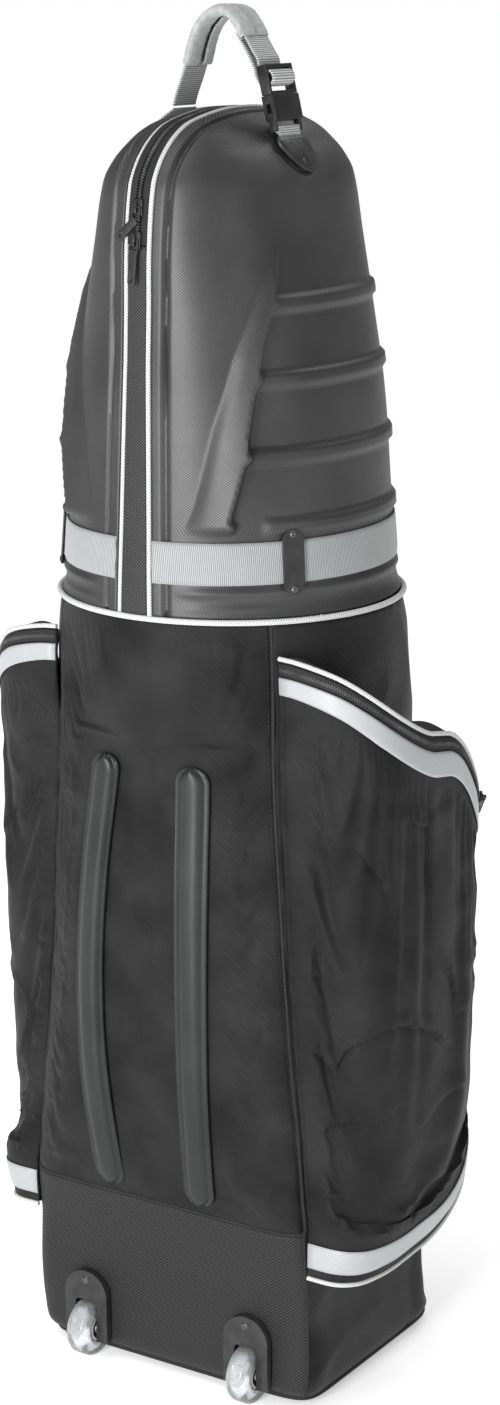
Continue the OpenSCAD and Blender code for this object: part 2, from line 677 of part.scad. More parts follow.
tops = [for (th = pocket_turns) high(th)];
lows = [for (th = pocket_turns) low(th)];
band_grow = [for (th = pocket_turns) lookup(th, [[-90, 17], [-40, 25], [90, 25]])];
ones = [for (th = pocket_turns) 1];

module pocket_left() { color("#1f2023") mirror([1, 0, 0]) pocket_skin(); }
module pocket_right() { color("#1f2023") pocket_skin(); }

module pocket_gusset() {
    pocket_lid(tops - 3.5 * ones);
    pocket_lid(lows + 1 * ones);
}
module pocket_gusset_left() { color("#17181a") mirror([1, 0, 0]) pocket_gusset(); }
module pocket_gusset_right() { color("#17181a") pocket_gusset(); }

module pocket_trim() {
    pocket_band(tops - 15 * ones - band_grow, tops - 15 * ones, 0.8, 2);
    pocket_band(lows + 9 * ones, lows + 35 * ones, 0.8, 2);
}
module pocket_trim_left() { color("#b4b7b7") mirror([1, 0, 0]) pocket_trim(); }
module pocket_trim_right() { color("#b4b7b7") pocket_trim(); }

module pocket_zip() { pocket_band(tops - 12 * ones, tops - 3 * ones, 0.5, 1.6); }
module pocket_zip_left() { color("#141517") mirror([1, 0, 0]) pocket_zip(); }
module pocket_zip_right() { color("#141517") pocket_zip(); }

module pocket_piping() {
    cord([for (th = pocket_turns) pocket_point(high(th) + pocket_cord_r + gap + 0.2, th)], pocket_cord_r, [0, 0, 1]);
    cord([for (th = pocket_turns) pocket_point(low(th) - pocket_cord_r - gap - 0.2, th)], pocket_cord_r, [0, 0, 1]);
}
module pocket_piping_left() { color("#dcdedd") mirror([1, 0, 0]) pocket_piping(); }
module pocket_piping_right() { color("#dcdedd") pocket_piping(); }

// Frame of the pocket slider: it travels back along the zip, towards the wheels.
function zip_point(th) = pocket_point(high(th) - 7.5, th, 3);
slider_way = unit(zip_point(pocket_slider_turn - 3) - zip_point(pocket_slider_turn + 3));
module at_pocket_slider() {
    y = slider_way;
    flat = unit(cross(y, [0, 0, 1]));
    x = flat[0] > 0 ? flat : -flat;
    z = cross(x, y);
    at = zip_point(pocket_slider_turn) + 0.4 * x;
    multmatrix([
        [x[0], y[0], z[0], at[0]], [x[1], y[1], z[1], at[1]], [x[2], y[2], z[2], at[2]], [0, 0, 0, 1]
    ]) children();
}
module pocket_slider_left() { color("#1a1b1d") mirror([1, 0, 0]) at_pocket_slider() slider_body(); }
module pocket_slider_right() { color("#1a1b1d") at_pocket_slider() slider_body(); }
module pocket_pull_left() { color("#101113") mirror([1, 0, 0]) at_pocket_slider() pull_tab(26); }
module pocket_pull_right() { color("#101113") at_pocket_slider() pull_tab(26); }

shell_left();
shell_right();
shell_pipings();
back_strip();
zip_tapes();
zip_chain();
rim_piping();
belt_left();
belt_right();
keeper_left();
keeper_right();
keeper_rivets();
belt_socket();
belt_plug();
upper_slider();
upper_pull();
lower_slider();
lower_pull();
plate_left();
plate_right();
plate_rivets();
anchor_tab_left();
anchor_tab_right();
handle_socket();
handle_plug();
handle_webbing();
handle_pad();
back_panel();
kick_panel();
side_wall_left();
side_wall_right();
base_skin();
base_board();
rail_left();
rail_right();
tyre_left();
tyre_right();
hub_left();
hub_right();
bearings_left();
bearings_right();
axle_left();
axle_right();
housing_left();
housing_right();
housing_rivets();
pocket_left();
pocket_right();
pocket_gusset_left();
pocket_gusset_right();
pocket_trim_left();
pocket_trim_right();
pocket_zip_left();
pocket_zip_right();
pocket_piping_left();
pocket_piping_right();
pocket_slider_left();
pocket_slider_right();
pocket_pull_left();
pocket_pull_right();
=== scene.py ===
import bpy
import bmesh
import math
from bisect import bisect_right
from mathutils import Matrix, Vector, noise


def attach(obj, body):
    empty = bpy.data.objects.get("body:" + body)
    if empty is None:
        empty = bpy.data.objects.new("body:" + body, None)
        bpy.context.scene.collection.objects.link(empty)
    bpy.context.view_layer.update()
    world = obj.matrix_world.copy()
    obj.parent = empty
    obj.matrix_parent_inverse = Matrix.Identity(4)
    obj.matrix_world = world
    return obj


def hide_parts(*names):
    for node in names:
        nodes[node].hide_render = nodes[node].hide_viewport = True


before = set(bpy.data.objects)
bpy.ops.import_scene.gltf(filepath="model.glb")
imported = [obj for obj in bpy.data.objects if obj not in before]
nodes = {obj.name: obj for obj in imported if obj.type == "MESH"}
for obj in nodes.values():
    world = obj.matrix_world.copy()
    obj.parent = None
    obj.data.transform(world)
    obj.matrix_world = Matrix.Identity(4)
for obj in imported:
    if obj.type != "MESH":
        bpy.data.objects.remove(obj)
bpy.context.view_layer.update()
scene = bpy.context.scene
mm = 0.001


# ---- Studio ----
# A pale floor in a bright room, with a tall soft box in front, a weak one on the right,
# one overhead behind the case, and a broad soft light from above.
floor_mesh = bmesh.new()
bmesh.ops.create_grid(floor_mesh, x_segments=12, y_segments=12, size=500)
floor_data = bpy.data.meshes.new("studio_floor")
floor_mesh.to_mesh(floor_data)
floor_mesh.free()
floor = bpy.data.objects.new("studio_floor", floor_data)
scene.collection.objects.link(floor)
paper = bpy.data.materials.new("pale_paper")
paper.use_nodes = True
paper_shader = paper.node_tree.nodes["Principled BSDF"]
paper_shader.inputs["Base Color"].default_value = (0.96, 0.96, 0.96, 1)
paper_shader.inputs["Roughness"].default_value = 0.8
paper_shader.inputs["Emission Color"].default_value = (1, 1, 1, 1)
paper_shader.inputs["Emission Strength"].default_value = 0.42
floor_data.materials.append(paper)

room = bpy.data.worlds.new("room")
room.use_nodes = True
room.node_tree.nodes["Background"].inputs["Color"].default_value = (1, 1, 1, 1)
room.node_tree.nodes["Background"].inputs["Strength"].default_value = 0.24
scene.world = room
scene.view_settings.view_transform = "Standard"


def soft_box(name, place, aim, width, height, power):
    light = bpy.data.lights.new(name, "AREA")
    light.shape = "RECTANGLE"
    light.size = width
    light.size_y = height
    light.energy = power
    lamp = bpy.data.objects.new(name, light)
    lamp.location = place
    lamp.rotation_mode = "QUATERNION"
    lamp.rotation_quaternion = (Vector(aim) - Vector(place)).to_track_quat("-Z", "Y")
    scene.collection.objects.link(lamp)


soft_box("key_box", (0.3, -3.1, 1.1), (0, 0, 0.9), 0.8, 2.0, 105)
soft_box("fill_box", (2.6, -0.2, 1.5), (0, 0, 0.7), 0.9, 0.9, 6)
soft_box("top_box", (0.3, 1.6, 2.9), (0, 0, 1.0), 1.2, 1.2, 16)
sky = bpy.data.lights.new("sky_light", "SUN")
sky.energy = 1.3
sky.angle = math.radians(50)
sky_lamp = bpy.data.objects.new("sky_light", sky)
sky_lamp.rotation_euler = (math.radians(18), 0, math.radians(-35))
scene.collection.objects.link(sky_lamp)

lens = bpy.data.cameras.new("camera")
lens.sensor_width = 36
lens.lens = 74.742
lens.clip_start = 0.1
camera = bpy.data.objects.new("camera", lens)
camera.location = (1.54291, -2.37141, 1.40469)
camera.rotation_euler = (math.radians(90 - 14.265), 0, math.radians(32.689))
scene.collection.objects.link(camera)
scene.camera = camera


# ---- Hard top shells ----
# Two thermoformed shells of a black laminate with a woven face. Each has a flat flange
# along its sewn edge, a groove beside it, a facet down the back and ribs round the side.
top_rows = [
    [3, 166, 170, 170, 2], [15, 160, 170, 170, 2], [45, 156, 169, 169, 2.05], [95, 150, 167, 167, 2.1],
    [195, 138, 163.5, 163.5, 2.2], [285, 118, 160, 160, 2.3], [345, 102, 158.5, 158.5, 2.4],
    [400, 90, 151.5, 151.5, 2.5], [420, 80, 141, 141, 2.55], [435, 68, 127, 127, 2.6],
    [445, 60, 113, 113, 2.6], [453, 50, 96, 96, 2.6], [459, 39, 70, 70, 2.6], [463, 29, 44, 44, 2.6],
    [464.5, 21, 26, 26, 2.6], [464.9, 15.9, 14, 14, 2.6],
]
rim_z = 805
top_rows = [[rim_z + r[0], *r[1:]] for r in top_rows]


def smoothed(rows, steps):
    """Evenly spaced rows on a smooth line through the given ones."""
    run = [0]
    for a, b in zip(rows, rows[1:]):
        run.append(run[-1] + math.dist(a[:4], b[:4]))
    last = len(rows) - 1
    slopes = []
    for i in range(last + 1):
        a = max(i - 1, 0)
        b = min(i + 1, last)
        slopes.append([(q - p) / (run[b] - run[a]) for p, q in zip(rows[a], rows[b])])
    made = []
    for k in range(steps + 1):
        s = run[-1] * k / steps
        i = min(bisect_right(run, s) - 1, last - 1)
        w = run[i + 1] - run[i]
        f = (s - run[i]) / w
        h = [2 * f**3 - 3 * f**2 + 1, (f**3 - 2 * f**2 + f) * w, 3 * f**2 - 2 * f**3, (f**3 - f**2) * w]
        ends = zip(rows[i], slopes[i], rows[i + 1], slopes[i + 1])
        made.append([sum(c * v for c, v in zip(h, e)) for e in ends])
    return made


top = smoothed(top_rows, 230)


def row_at(rows, z):
    i = min(max(bisect_right(rows, z, key=lambda r: r[0]) - 1, 0), len(rows) - 2)
    f = (z - rows[i][0]) / (rows[i + 1][0] - rows[i][0])
    return [p + (q - p) * f for p, q in zip(rows[i], rows[i + 1])]


def section(row, turn, out=0):
    """Point of an oval section in millimetres: turn 0 is the side, -90 the back."""
    c = math.cos(math.radians(turn))
    s = math.sin(math.radians(turn))
    b = row[3] if s > 0 else row[2]
    e = 2 / row[4]
    x = (row[1] + out) * math.copysign(abs(c) ** e, c)
    return Vector((x, (b + out) * math.copysign(abs(s) ** e, s), row[0]))


def turn_at_x(row, x):
    return math.degrees(math.acos(min(1, max(0, x / row[1]) ** (row[4] / 2))))


def turn_at_y(row, y, back=True):
    return math.degrees(math.asin(min(1, max(0, y / (row[2] if back else row[3])) ** (row[4] / 2))))


def depth_at(rows, z, x, front=False):
    row = row_at(rows, z)
    return (row[3] if front else row[2]) * max(0, 1 - (abs(x) / row[1]) ** row[4]) ** (1 / row[4])


def width_at(rows, z, y):
    row = row_at(rows, z)
    return row[1] * max(0, 1 - (abs(y) / (row[3] if y > 0 else row[2])) ** row[4]) ** (1 / row[4])


def lookup(x, pairs):
    i = min(max(bisect_right(pairs, x, key=lambda p: p[0]) - 1, 0), len(pairs) - 2)
    f = min(1, max(0, (x - pairs[i][0]) / (pairs[i + 1][0] - pairs[i][0])))
    return pairs[i][1] + (pairs[i + 1][1] - pairs[i][1]) * f


def ease(x, a, b):
    f = min(1, max(0, (x - a) / (b - a)))
    return f * f * (3 - 2 * f)


def hump(x, half):
    return (1 + math.cos(math.pi * x / half)) / 2 if abs(x) < half else 0


def strip_half(z):
    return lookup(z - rim_z, [(0, 15), (240, 10.5)])


def shell_edge(z):
    return strip_half(z) + 5.4


facet_edge = [(890, -56.5), (901, -56), (958, -49.5), (980, -48.5), (1007, -46), (1036, -42.5), (1063, -39),
              (1099, -31.5), (1153, -22.5)]
facet_foot = [(890, -71.5), (916, -69.5), (986, -62.5), (1051, -52.5), (1116, -37), (1153, -22.5)]
rib_heights = [893, 959, 1029, 1097]
rib_tips = [(893, -41), (959, -46), (1029, -40), (1097, -31)]


def shell_relief(turn, z, p):
    """How far the moulded detail stands out of the shell, in millimetres."""
    x = p.x
    beside = x - shell_edge(z)
    out = -3.2 * hump(beside - 14, 4.5) + 0.8 * (1 - ease(beside, 10, 14))
    tip = max(hump(z - h, 10) for h in rib_heights)
    edge = lookup(z, facet_edge) + 1.6 * tip
    foot = lookup(z, facet_foot)
    rise = 0.85 * max(0, edge - foot) * ease(z, 884, 896) * (1 - ease(z, 1150, 1158))
    out -= 1.6 * hump(turn - foot, 7) * ease(z, 890, 920) * (1 - ease(z, 1110, 1150))
    if foot < turn < edge:
        out += rise * (turn - foot) / (edge - foot)
    elif turn >= edge:
        out += rise * (1 - ease(turn, edge, edge + 2.4))
    for h in rib_heights:
        start = lookup(h, rib_tips)
        along = ease(turn, start - 4, start + 1) * (1 - ease(turn, 50, 60))
        out = max(out, 4.2 * along * ease(1 - abs(z - h) / 9, 0, 0.5)) if beside > 20 else out
    beyond = math.hypot((p.y + 7) / 28, (z - 1236) / (24 if z < 1236 else 12)) - 1
    out += (1.5 * hump(beyond - 0.13, 0.13) - 1.2 * hump(beyond, 0.1)) * ease(z, 1240, 1228)
    out += 3 * hump(z - 832, 6.5) * (1 - ease(abs(turn), 66, 76))
    out += 1.2 * hump(z - 817, 4) * ease(abs(turn), 30, 50) * (1 - ease(abs(turn), 66, 76))
    return out


def shell_point(s, t):
    i = min(int(t * (len(top) - 1)), len(top) - 2)
    row = row_at(top, top[i][0] + (top[i + 1][0] - top[i][0]) * (t * (len(top) - 1) - i))
    end = turn_at_x(row, shell_edge(row[0]))
    turn = (2 * s - 1) * end
    p = section(row, turn)
    a, b = row[1], row[2]
    u, v = abs(p.x) / a, abs(p.y) / b
    g = top[i + 1][0] - top[i][0]
    fall = u ** row[4] * (top[i + 1][1] - top[i][1]) / a + v ** row[4] * (top[i + 1][2] - top[i][2]) / b
    normal = Vector((u ** (row[4] - 1) / a, math.copysign(v ** (row[4] - 1) / b, p.y), -fall / g)).normalized()
    return (p + normal * shell_relief(turn, row[0], p)) * mm


def loft(across, along, place):
    """A grid whose points are set by place(s, t), with its flat cut in metres as its UV map."""
    bm = bmesh.new()
    bmesh.ops.create_grid(bm, x_segments=across, y_segments=along, size=0.5)
    bm.verts.ensure_lookup_table()
    n = across + 1
    for v in bm.verts:
        v.co = place(v.co.x + 0.5, v.co.y + 0.5)
    cut = [None] * len(bm.verts)
    up = 0
    for j in range(along + 1):
        row = bm.verts[j * n : (j + 1) * n]
        if j:
            up += (row[n // 2].co - bm.verts[(j - 1) * n + n // 2].co).length
        run = [0]
        for p, q in zip(row, row[1:]):
            run.append(run[-1] + (q.co - p.co).length)
        for i in range(n):
            cut[j * n + i] = (run[i] - run[-1] / 2, up)
    uv = bm.loops.layers.uv.new("cut")
    for f in bm.faces:
        for corner in f.loops:
            corner[uv].uv = cut[corner.vert.index]
    return bm


def flipped(bm):
    """Turns the mesh over to the other side of the case."""
    bmesh.ops.scale(bm, vec=(-1, 1, 1), verts=bm.verts)
    bmesh.ops.reverse_faces(bm, faces=bm.faces)
    return bm


def piece(name, bm, finish, body="case", instead=(), crease=40, wall=0):
    """Makes the mesh an object that rides on a body and stands for the CAD nodes instead."""
    for f in bm.faces:
        f.smooth = True
    data = bpy.data.meshes.new(name)
    bm.to_mesh(data)
    bm.free()
    data.set_sharp_from_angle(angle=math.radians(crease))
    data.materials.append(finish)
    made = bpy.data.objects.new(name, data)
    scene.collection.objects.link(made)
    if wall:
        made.modifiers.new("wall", "SOLIDIFY").thickness = wall * mm
    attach(made, body)
    if instead:
        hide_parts(*instead)
    return made


def feed(tree, kind, *sources, **settings):
    """Adds a shader node, sets it up, and feeds its inputs in order."""
    made = tree.nodes.new("ShaderNode" + kind)
    for key, value in settings.items():
        setattr(made, key, value)
    for socket, source in zip(made.inputs, sources):
        if isinstance(source, bpy.types.NodeSocket):
            tree.links.new(source, socket)
        elif source is not None:
            socket.default_value = source
    return made.outputs["Value"] if kind == "VectorMath" and settings.get("operation") == "DOT_PRODUCT" \
        else made.outputs[0]


def blank_finish(name, colour, roughness, specular=0.5):
    made = bpy.data.materials.new(name)
    made.use_nodes = True
    shader = made.node_tree.nodes["Principled BSDF"]
    shader.inputs["Base Color"].default_value = (*colour, 1)
    shader.inputs["Roughness"].default_value = roughness
    shader.inputs["Specular IOR Level"].default_value = specular
    return made, made.node_tree, shader


def times(tree, a, b):
    return feed(tree, "Math", a, b, operation="MULTIPLY")


def lifted(tree, value, gain, base):
    return feed(tree, "Math", value, gain, base, operation="MULTIPLY_ADD")


def ripple(tree, place, across, up):
    """Sine bands, 0 to 1, with that many millimetres between them across and up the cloth."""
    turns = (6283.2 / across if across else 0, 6283.2 / up if up else 0, 0)
    wave = feed(tree, "Math", feed(tree, "VectorMath", place, turns, operation="DOT_PRODUCT"), operation="SINE")
    return lifted(tree, wave, 0.5, 0.5)


def woven(tree, place, across, up):
    """Plain weave, 0 to 1: threads that pass over and under each other."""
    a = lifted(tree, ripple(tree, place, across, 0), 2, -1)
    b = lifted(tree, ripple(tree, place, 0, up), 2, -1)
    return lifted(tree, times(tree, a, b), 0.5, 0.5)


def shade(tree, shader, socket, height, stops):
    """Colours or roughness from a height, between the given stops."""
    ramp = tree.nodes.new("ShaderNodeValToRGB")
    ramp.color_ramp.elements[0].position = stops[0][0]
    ramp.color_ramp.elements[0].color = (*stops[0][1], 1)
    ramp.color_ramp.elements[1].position = stops[1][0]
    ramp.color_ramp.elements[1].color = (*stops[1][1], 1)
    tree.links.new(height, ramp.inputs[0])
    tree.links.new(ramp.outputs[0], shader.inputs[socket])


def emboss(tree, shader, height, deep, strength=1):
    """Bumps of that many millimetres."""
    bump = tree.nodes.new("ShaderNodeBump")
    bump.inputs["Strength"].default_value = strength
    bump.inputs["Distance"].default_value = deep * mm
    tree.links.new(height, bump.inputs["Height"])
    tree.links.new(bump.outputs[0], shader.inputs["Normal"])


def grey(v):
    return (v, v, v * 1.02)


def flat_cut(tree):
    return feed(tree, "UVMap", uv_map="cut")


laminate, tree, shader = blank_finish("woven_laminate", grey(0.03), 0.4, 0.8)
threads = woven(tree, flat_cut(tree), 3.4, 2.3)
drift = feed(tree, "TexNoise", flat_cut(tree), None, 9, 3)
height = times(tree, threads, drift)
shade(tree, shader, "Base Color", height, [(0.16, grey(0.001)), (0.5, grey(0.045))])
shade(tree, shader, "Roughness", threads, [(0.2, (0.8,) * 3), (0.7, (0.36,) * 3)])
emboss(tree, shader, threads, 0.25, 0.4)

shell_right = loft(176, 230, shell_point)
shell_left = flipped(shell_right.copy())
for side, bm in (("right", shell_right), ("left", shell_left)):
    bmesh.ops.remove_doubles(bm, verts=bm.verts, dist=0.0001)
    piece("shell_" + side + "_moulding", bm, laminate, instead=["shell_" + side],
          crease=60, wall=2.6)


# ---- Shell pipings, back strip and zip tapes ----
# White corded piping is sewn along the edge of each shell. Between the two cords runs a
# woven strip up the back, and above it the tapes of the main zip, over the top and down the front.
def even(line, step):
    """The line's points again, that many millimetres apart."""
    run = [0]
    for a, b in zip(line, line[1:]):
        run.append(run[-1] + math.dist(a, b))
    count = max(2, round(run[-1] / step))
    made = []
    for k in range(count + 1):
        s = run[-1] * k / count
        i = min(max(bisect_right(run, s) - 1, 0), len(line) - 2)
        f = (s - run[i]) / max(1e-9, run[i + 1] - run[i])
        made.append(Vector(line[i]).lerp(Vector(line[i + 1]), f))
    return made


def over_top(x_at, start, end):
    """Line over the hard top from a height at the back to one at the front."""
    levels = [r[0] for r in top]
    back = [z for z in levels if z > start]
    front = [z for z in reversed(levels) if z > end]
    line = [(x_at(z), -depth_at(top, z, x_at(z)), z) for z in [start, *back]]
    return line + [(x_at(z), depth_at(top, z, x_at(z), True), z) for z in [*front, end]]


def along(line, t):
    f = min(max(t, 0), 1) * (len(line) - 1)
    i = min(int(f), len(line) - 2)
    return line[i].lerp(line[i + 1], f - i)


def way(line, t):
    e = 1 / (len(line) - 1)
    return (along(line, t + e) - along(line, t - e)).normalized()


def cord_mesh(line, radius, sides=10, up=Vector((1, 0, 0)), ends=True):
    """Round cord along a line that never runs along up."""
    def place(s, t):
        ahead = way(line, t)
        side = up.cross(ahead).normalized()
        a = 2 * math.pi * s
        return (along(line, t) + radius * (math.cos(a) * side + math.sin(a) * ahead.cross(side))) * mm
    bm = loft(sides, len(line) - 1, place)
    bmesh.ops.remove_doubles(bm, verts=bm.verts, dist=0.00002)
    if ends:
        bmesh.ops.holes_fill(bm, edges=[e for e in bm.edges if e.is_boundary], sides=sides)
    bmesh.ops.recalc_face_normals(bm, faces=bm.faces)
    return bm


def joined(*meshes):
    """All the meshes in the first one."""
    first = meshes[0]
    for other in meshes[1:]:
        data = bpy.data.meshes.new("part")
        other.to_mesh(data)
        first.from_mesh(data)
        other.free()
        bpy.data.meshes.remove(data)
    return first


def object_place(tree):
    return tree.nodes.new("ShaderNodeTexCoord").outputs["Object"]


def mottled(name, base, scale, detail, tones, gloss=(), deep=(), metallic=0):
    """Finish whose tone, and gloss and bumps where given, follow one noise of that scale."""
    made, tree, shader = blank_finish(name, *base)
    shader.inputs["Metallic"].default_value = metallic
    patches = feed(tree, "TexNoise", object_place(tree), None, scale, detail)
    shade(tree, shader, "Base Color", patches, tones)
    if gloss:
        shade(tree, shader, "Roughness", patches, [(at, (value,) * 3) for at, value in gloss])
    if deep:
        emboss(tree, shader, patches, *deep)
    return made


white_cord, tree, shader = blank_finish("white_cord", (0.74, 0.75, 0.74), 0.55, 0.3)
twist = ripple(tree, flat_cut(tree), 5, 2.6)
shade(tree, shader, "Base Color", twist, [(0.1, (0.36, 0.37, 0.36)), (0.7, (0.66, 0.67, 0.66))])
emboss(tree, shader, twist, 0.3, 0.6)

shell_foot = rim_z + 3
cords = []
for side in (-1, 1):
    line = even(over_top(lambda z: side * (strip_half(z) + 2.7), shell_foot, shell_foot), 2.5)
    if side < 0:
        line = [Vector((p.x, p.y * 0.988, shell_foot + (p.z - shell_foot) * 0.996)) for p in line]
    cords.append(cord_mesh(line, 2.5))
piece("shell_piping_cords", joined(*cords), white_cord, instead=["shell_pipings"])

strip_weave, tree, shader = blank_finish("strip_weave", grey(0.03), 0.6, 0.25)
chevrons = times(tree, ripple(tree, flat_cut(tree), 3.2, 3.2), ripple(tree, flat_cut(tree), -3.2, 3.2))
shade(tree, shader, "Base Color", chevrons, [(0.1, grey(0.012)), (0.8, grey(0.09))])
emboss(tree, shader, chevrons, 0.3, 0.7)


def strip_point(s, t):
    z = shell_foot + 343 * t
    x = (2 * s - 1) * (strip_half(z) - 0.2)
    return Vector((x, -depth_at(top, z, x) - 0.9 * (1 - (2 * s - 1) ** 4), z)) * mm


piece("back_strip_webbing", loft(12, 90, strip_point), strip_weave,
      instead=["back_strip"], wall=1.4)

tape_cloth, tree, shader = blank_finish("tape_cloth", grey(0.015), 0.7, 0.2)
herring = ripple(tree, flat_cut(tree), 1.1, 1.6)
shade(tree, shader, "Base Color", herring, [(0.1, grey(0.008)), (0.8, grey(0.035))])
emboss(tree, shader, herring, 0.2, 0.6)

body_rows = [
    [3, 151, 94, 144, 10], [8, 158, 108, 149, 11], [20, 165, 118.5, 148, 12], [45, 168, 119, 132, 12],
    [80, 168, 120, 122, 12], [120, 168, 122, 124, 12], [194, 168, 132, 132, 10], [230, 168, 138, 138, 7],
    [330, 168, 147, 145, 4.2], [430, 168, 150, 150, 3.25], [530, 170, 150, 156, 2.8],
    [660, 173, 148, 162, 2.5], [760, 172, 160, 168, 2.15], [801.5, 168, 169, 170, 2],
]
body = smoothed(body_rows, 200)


def down_front(x, z0, z1):
    count = int((z0 - z1) / 8)
    levels = [z0 + (z1 - z0) * k / count for k in range(count + 1)]
    return [(x, depth_at(body, z, x, True), z) for z in levels]


zip_line = even(over_top(lambda z: 0, 1152, shell_foot) + down_front(0, 801, 110), 2.4)
tapes = []
for side in (-1, 1):
    def tape_point(s, t):
        p = along(zip_line, t)
        d = way(zip_line, t)
        lift = 0.5 - 0.5 * ease(s, 0.7, 1)
        return (p + Vector((side * (3.2 + 7 * s), 0, 0)) + Vector((0, -d.z, d.y)) * lift) * mm
    bm = loft(5, len(zip_line) - 1, tape_point)
    bmesh.ops.recalc_face_normals(bm, faces=bm.faces)
    tapes.append(bm)
piece("main_zip_tapes", joined(*tapes), tape_cloth, instead=["zip_tapes"], wall=0.8)


# ---- Main zip teeth ----
# Interlocking moulded teeth in two rows that mesh along the middle of the tapes.
zip_black = mottled("zip_black", (grey(0.025), 0.32, 0.5), 60, 2, [(0.3, grey(0.03)), (0.8, grey(0.12))])


def zip_teeth(line, out_at, pitch, size):
    """Two rows of small rounded teeth along a line, half a pitch apart."""
    bm = bmesh.new()
    spots = even(line, pitch / 2)
    for k in range(1, len(spots) - 1):
        ahead = (spots[k + 1] - spots[k - 1]).normalized()
        out = out_at(spots[k], ahead)
        side = ahead.cross(out)
        place = Matrix((side, ahead, out)).transposed().to_4x4()
        place.translation = (spots[k] + side * (0.85 if k % 2 else -0.85) + out * 0.55) * mm
        place @= Matrix.Diagonal((*(v * mm for v in size), 1))
        bmesh.ops.create_cube(bm, size=1, matrix=place)
    bmesh.ops.recalc_face_normals(bm, faces=bm.faces)
    bmesh.ops.bevel(bm, geom=bm.edges[:], offset=0.22 * mm, affect="EDGES", segments=1, profile=0.5,
                    material=-1)
    return bm


teeth = zip_teeth(zip_line, lambda p, d: Vector((0, -d.z, d.y)), 2.6, (3.4, 0.95, 1.5))
piece("main_zip_teeth", teeth, zip_black, instead=["zip_chain"])


# ---- Zip sliders and their pulls ----
# Cast sliders with a bridge, and moulded rubber pulls that hang from a pin in it.
def refined(name, soften, segments=2, sharp=30):
    """A CAD node's own shape with its flats joined up and its edges rounded."""
    bm = bmesh.new()
    bm.from_mesh(nodes[name].data)
    bmesh.ops.remove_doubles(bm, verts=bm.verts, dist=0.00001)
    bmesh.ops.dissolve_limit(bm, angle_limit=math.radians(1), verts=bm.verts, edges=bm.edges)
    edges = [e for e in bm.edges if len(e.link_faces) == 2 and e.calc_face_angle(0) > math.radians(sharp)]
    bmesh.ops.bevel(bm, geom=edges, offset=soften * mm, affect="EDGES", segments=segments, profile=0.5,
                    material=-1, clamp_overlap=True)
    return bm


pull_rubber = mottled("pull_rubber", (grey(0.018), 0.5, 0.35), 240, 3, [(0.3, grey(0.01)), (0.9, grey(0.045))],
                      deep=(0.1, 0.4))
slider_black = mottled("slider_black", (grey(0.03), 0.3, 0.6), 400, 4, [(0.35, grey(0.015)), (0.8, grey(0.06))],
                       [(0.3, 0.24), (0.8, 0.45)], metallic=0.3)

for name in ("upper", "lower"):
    piece(name + "_slider_casting", refined(name + "_slider", 0.35), slider_black,
          name + "_slider", [name + "_slider"])
    piece(name + "_rubber_pull", refined(name + "_pull", 0.55), pull_rubber,
          name + "_pull", [name + "_pull"])


# ---- Rim piping ----
# The same white cord, thicker, closes the seam between the hard top and the fabric body.
rim_radius = 170


def rim_point(turn):
    return Vector((rim_radius * math.cos(turn), rim_radius * math.sin(turn), rim_z))


start = math.radians(97)
rim_line = [rim_point(start + math.radians(346) * k / 240) for k in range(241)]
piece("rim_piping_cord", cord_mesh(rim_line, 2.9, 12, Vector((0, 0, 1))), white_cord,
      instead=["rim_piping"])


# ---- Belt and its keepers ----
# A flat woven belt goes round both shells under two moulded keepers, each held by two rivets.
belt_cloth, tree, shader = blank_finish("belt_cloth", (0.3, 0.32, 0.32), 0.5, 0.35)
shader.inputs["Sheen Weight"].default_value = 0.25
ribs = ripple(tree, flat_cut(tree), 1.9, 0)
fibres = ripple(tree, flat_cut(tree), 0, 1.1)
cloud = feed(tree, "TexNoise", flat_cut(tree), None, 40, 4)
weft = times(tree, ribs, lifted(tree, fibres, 0.3, 0.7))
toned = times(tree, weft, lifted(tree, cloud, 0.5, 0.75))
shade(tree, shader, "Base Color", toned, [(0.05, (0.15, 0.16, 0.162)), (0.75, (0.4, 0.415, 0.415))])
emboss(tree, shader, weft, 0.35, 0.7)


def belt_point(s, t):
    z = 840 + 40 * t
    row = row_at(top, z)
    back = turn_at_x(row, shell_edge(z) + 1)
    front = turn_at_x(row, shell_edge(z) + 4)
    turn = -back + (back + front) * s
    slack = 0.5 * noise.noise(Vector((turn * 0.09, t * 0.5, 3.1)))
    return section(row, turn, 2.6 + slack - 0.5 * (2 * t - 1) ** 6) * mm


belt_right = loft(150, 10, belt_point)
belt_left = flipped(belt_right.copy())
for side, bm in (("right", belt_right), ("left", belt_left)):
    piece("belt_webbing_" + side, bm, belt_cloth, instead=["belt_" + side], wall=1.5)

black_plastic, tree, shader = blank_finish("black_plastic", grey(0.02), 0.42, 0.45)
grain = feed(tree, "TexNoise", object_place(tree), None, 900, 2)
worn = feed(tree, "TexNoise", object_place(tree), None, 70, 5)
shade(tree, shader, "Base Color", worn, [(0.35, grey(0.011)), (0.8, grey(0.034))])
shade(tree, shader, "Roughness", worn, [(0.3, (0.34,) * 3), (0.8, (0.52,) * 3)])
emboss(tree, shader, grain, 0.06, 0.5)
rivet_finish = mottled("rivet_finish", (grey(0.05), 0.28, 0.6), 500, 3, [(0.3, grey(0.04)), (0.8, grey(0.12))],
                       [(0.3, 0.2), (0.8, 0.4)], metallic=0.6)
for side in ("left", "right"):
    piece("belt_keeper_" + side, refined("keeper_" + side, 0.7, 3), black_plastic,
          instead=["keeper_" + side])
piece("keeper_rivet_heads", refined("keeper_rivets", 0.5, 3), rivet_finish,
      instead=["keeper_rivets"])

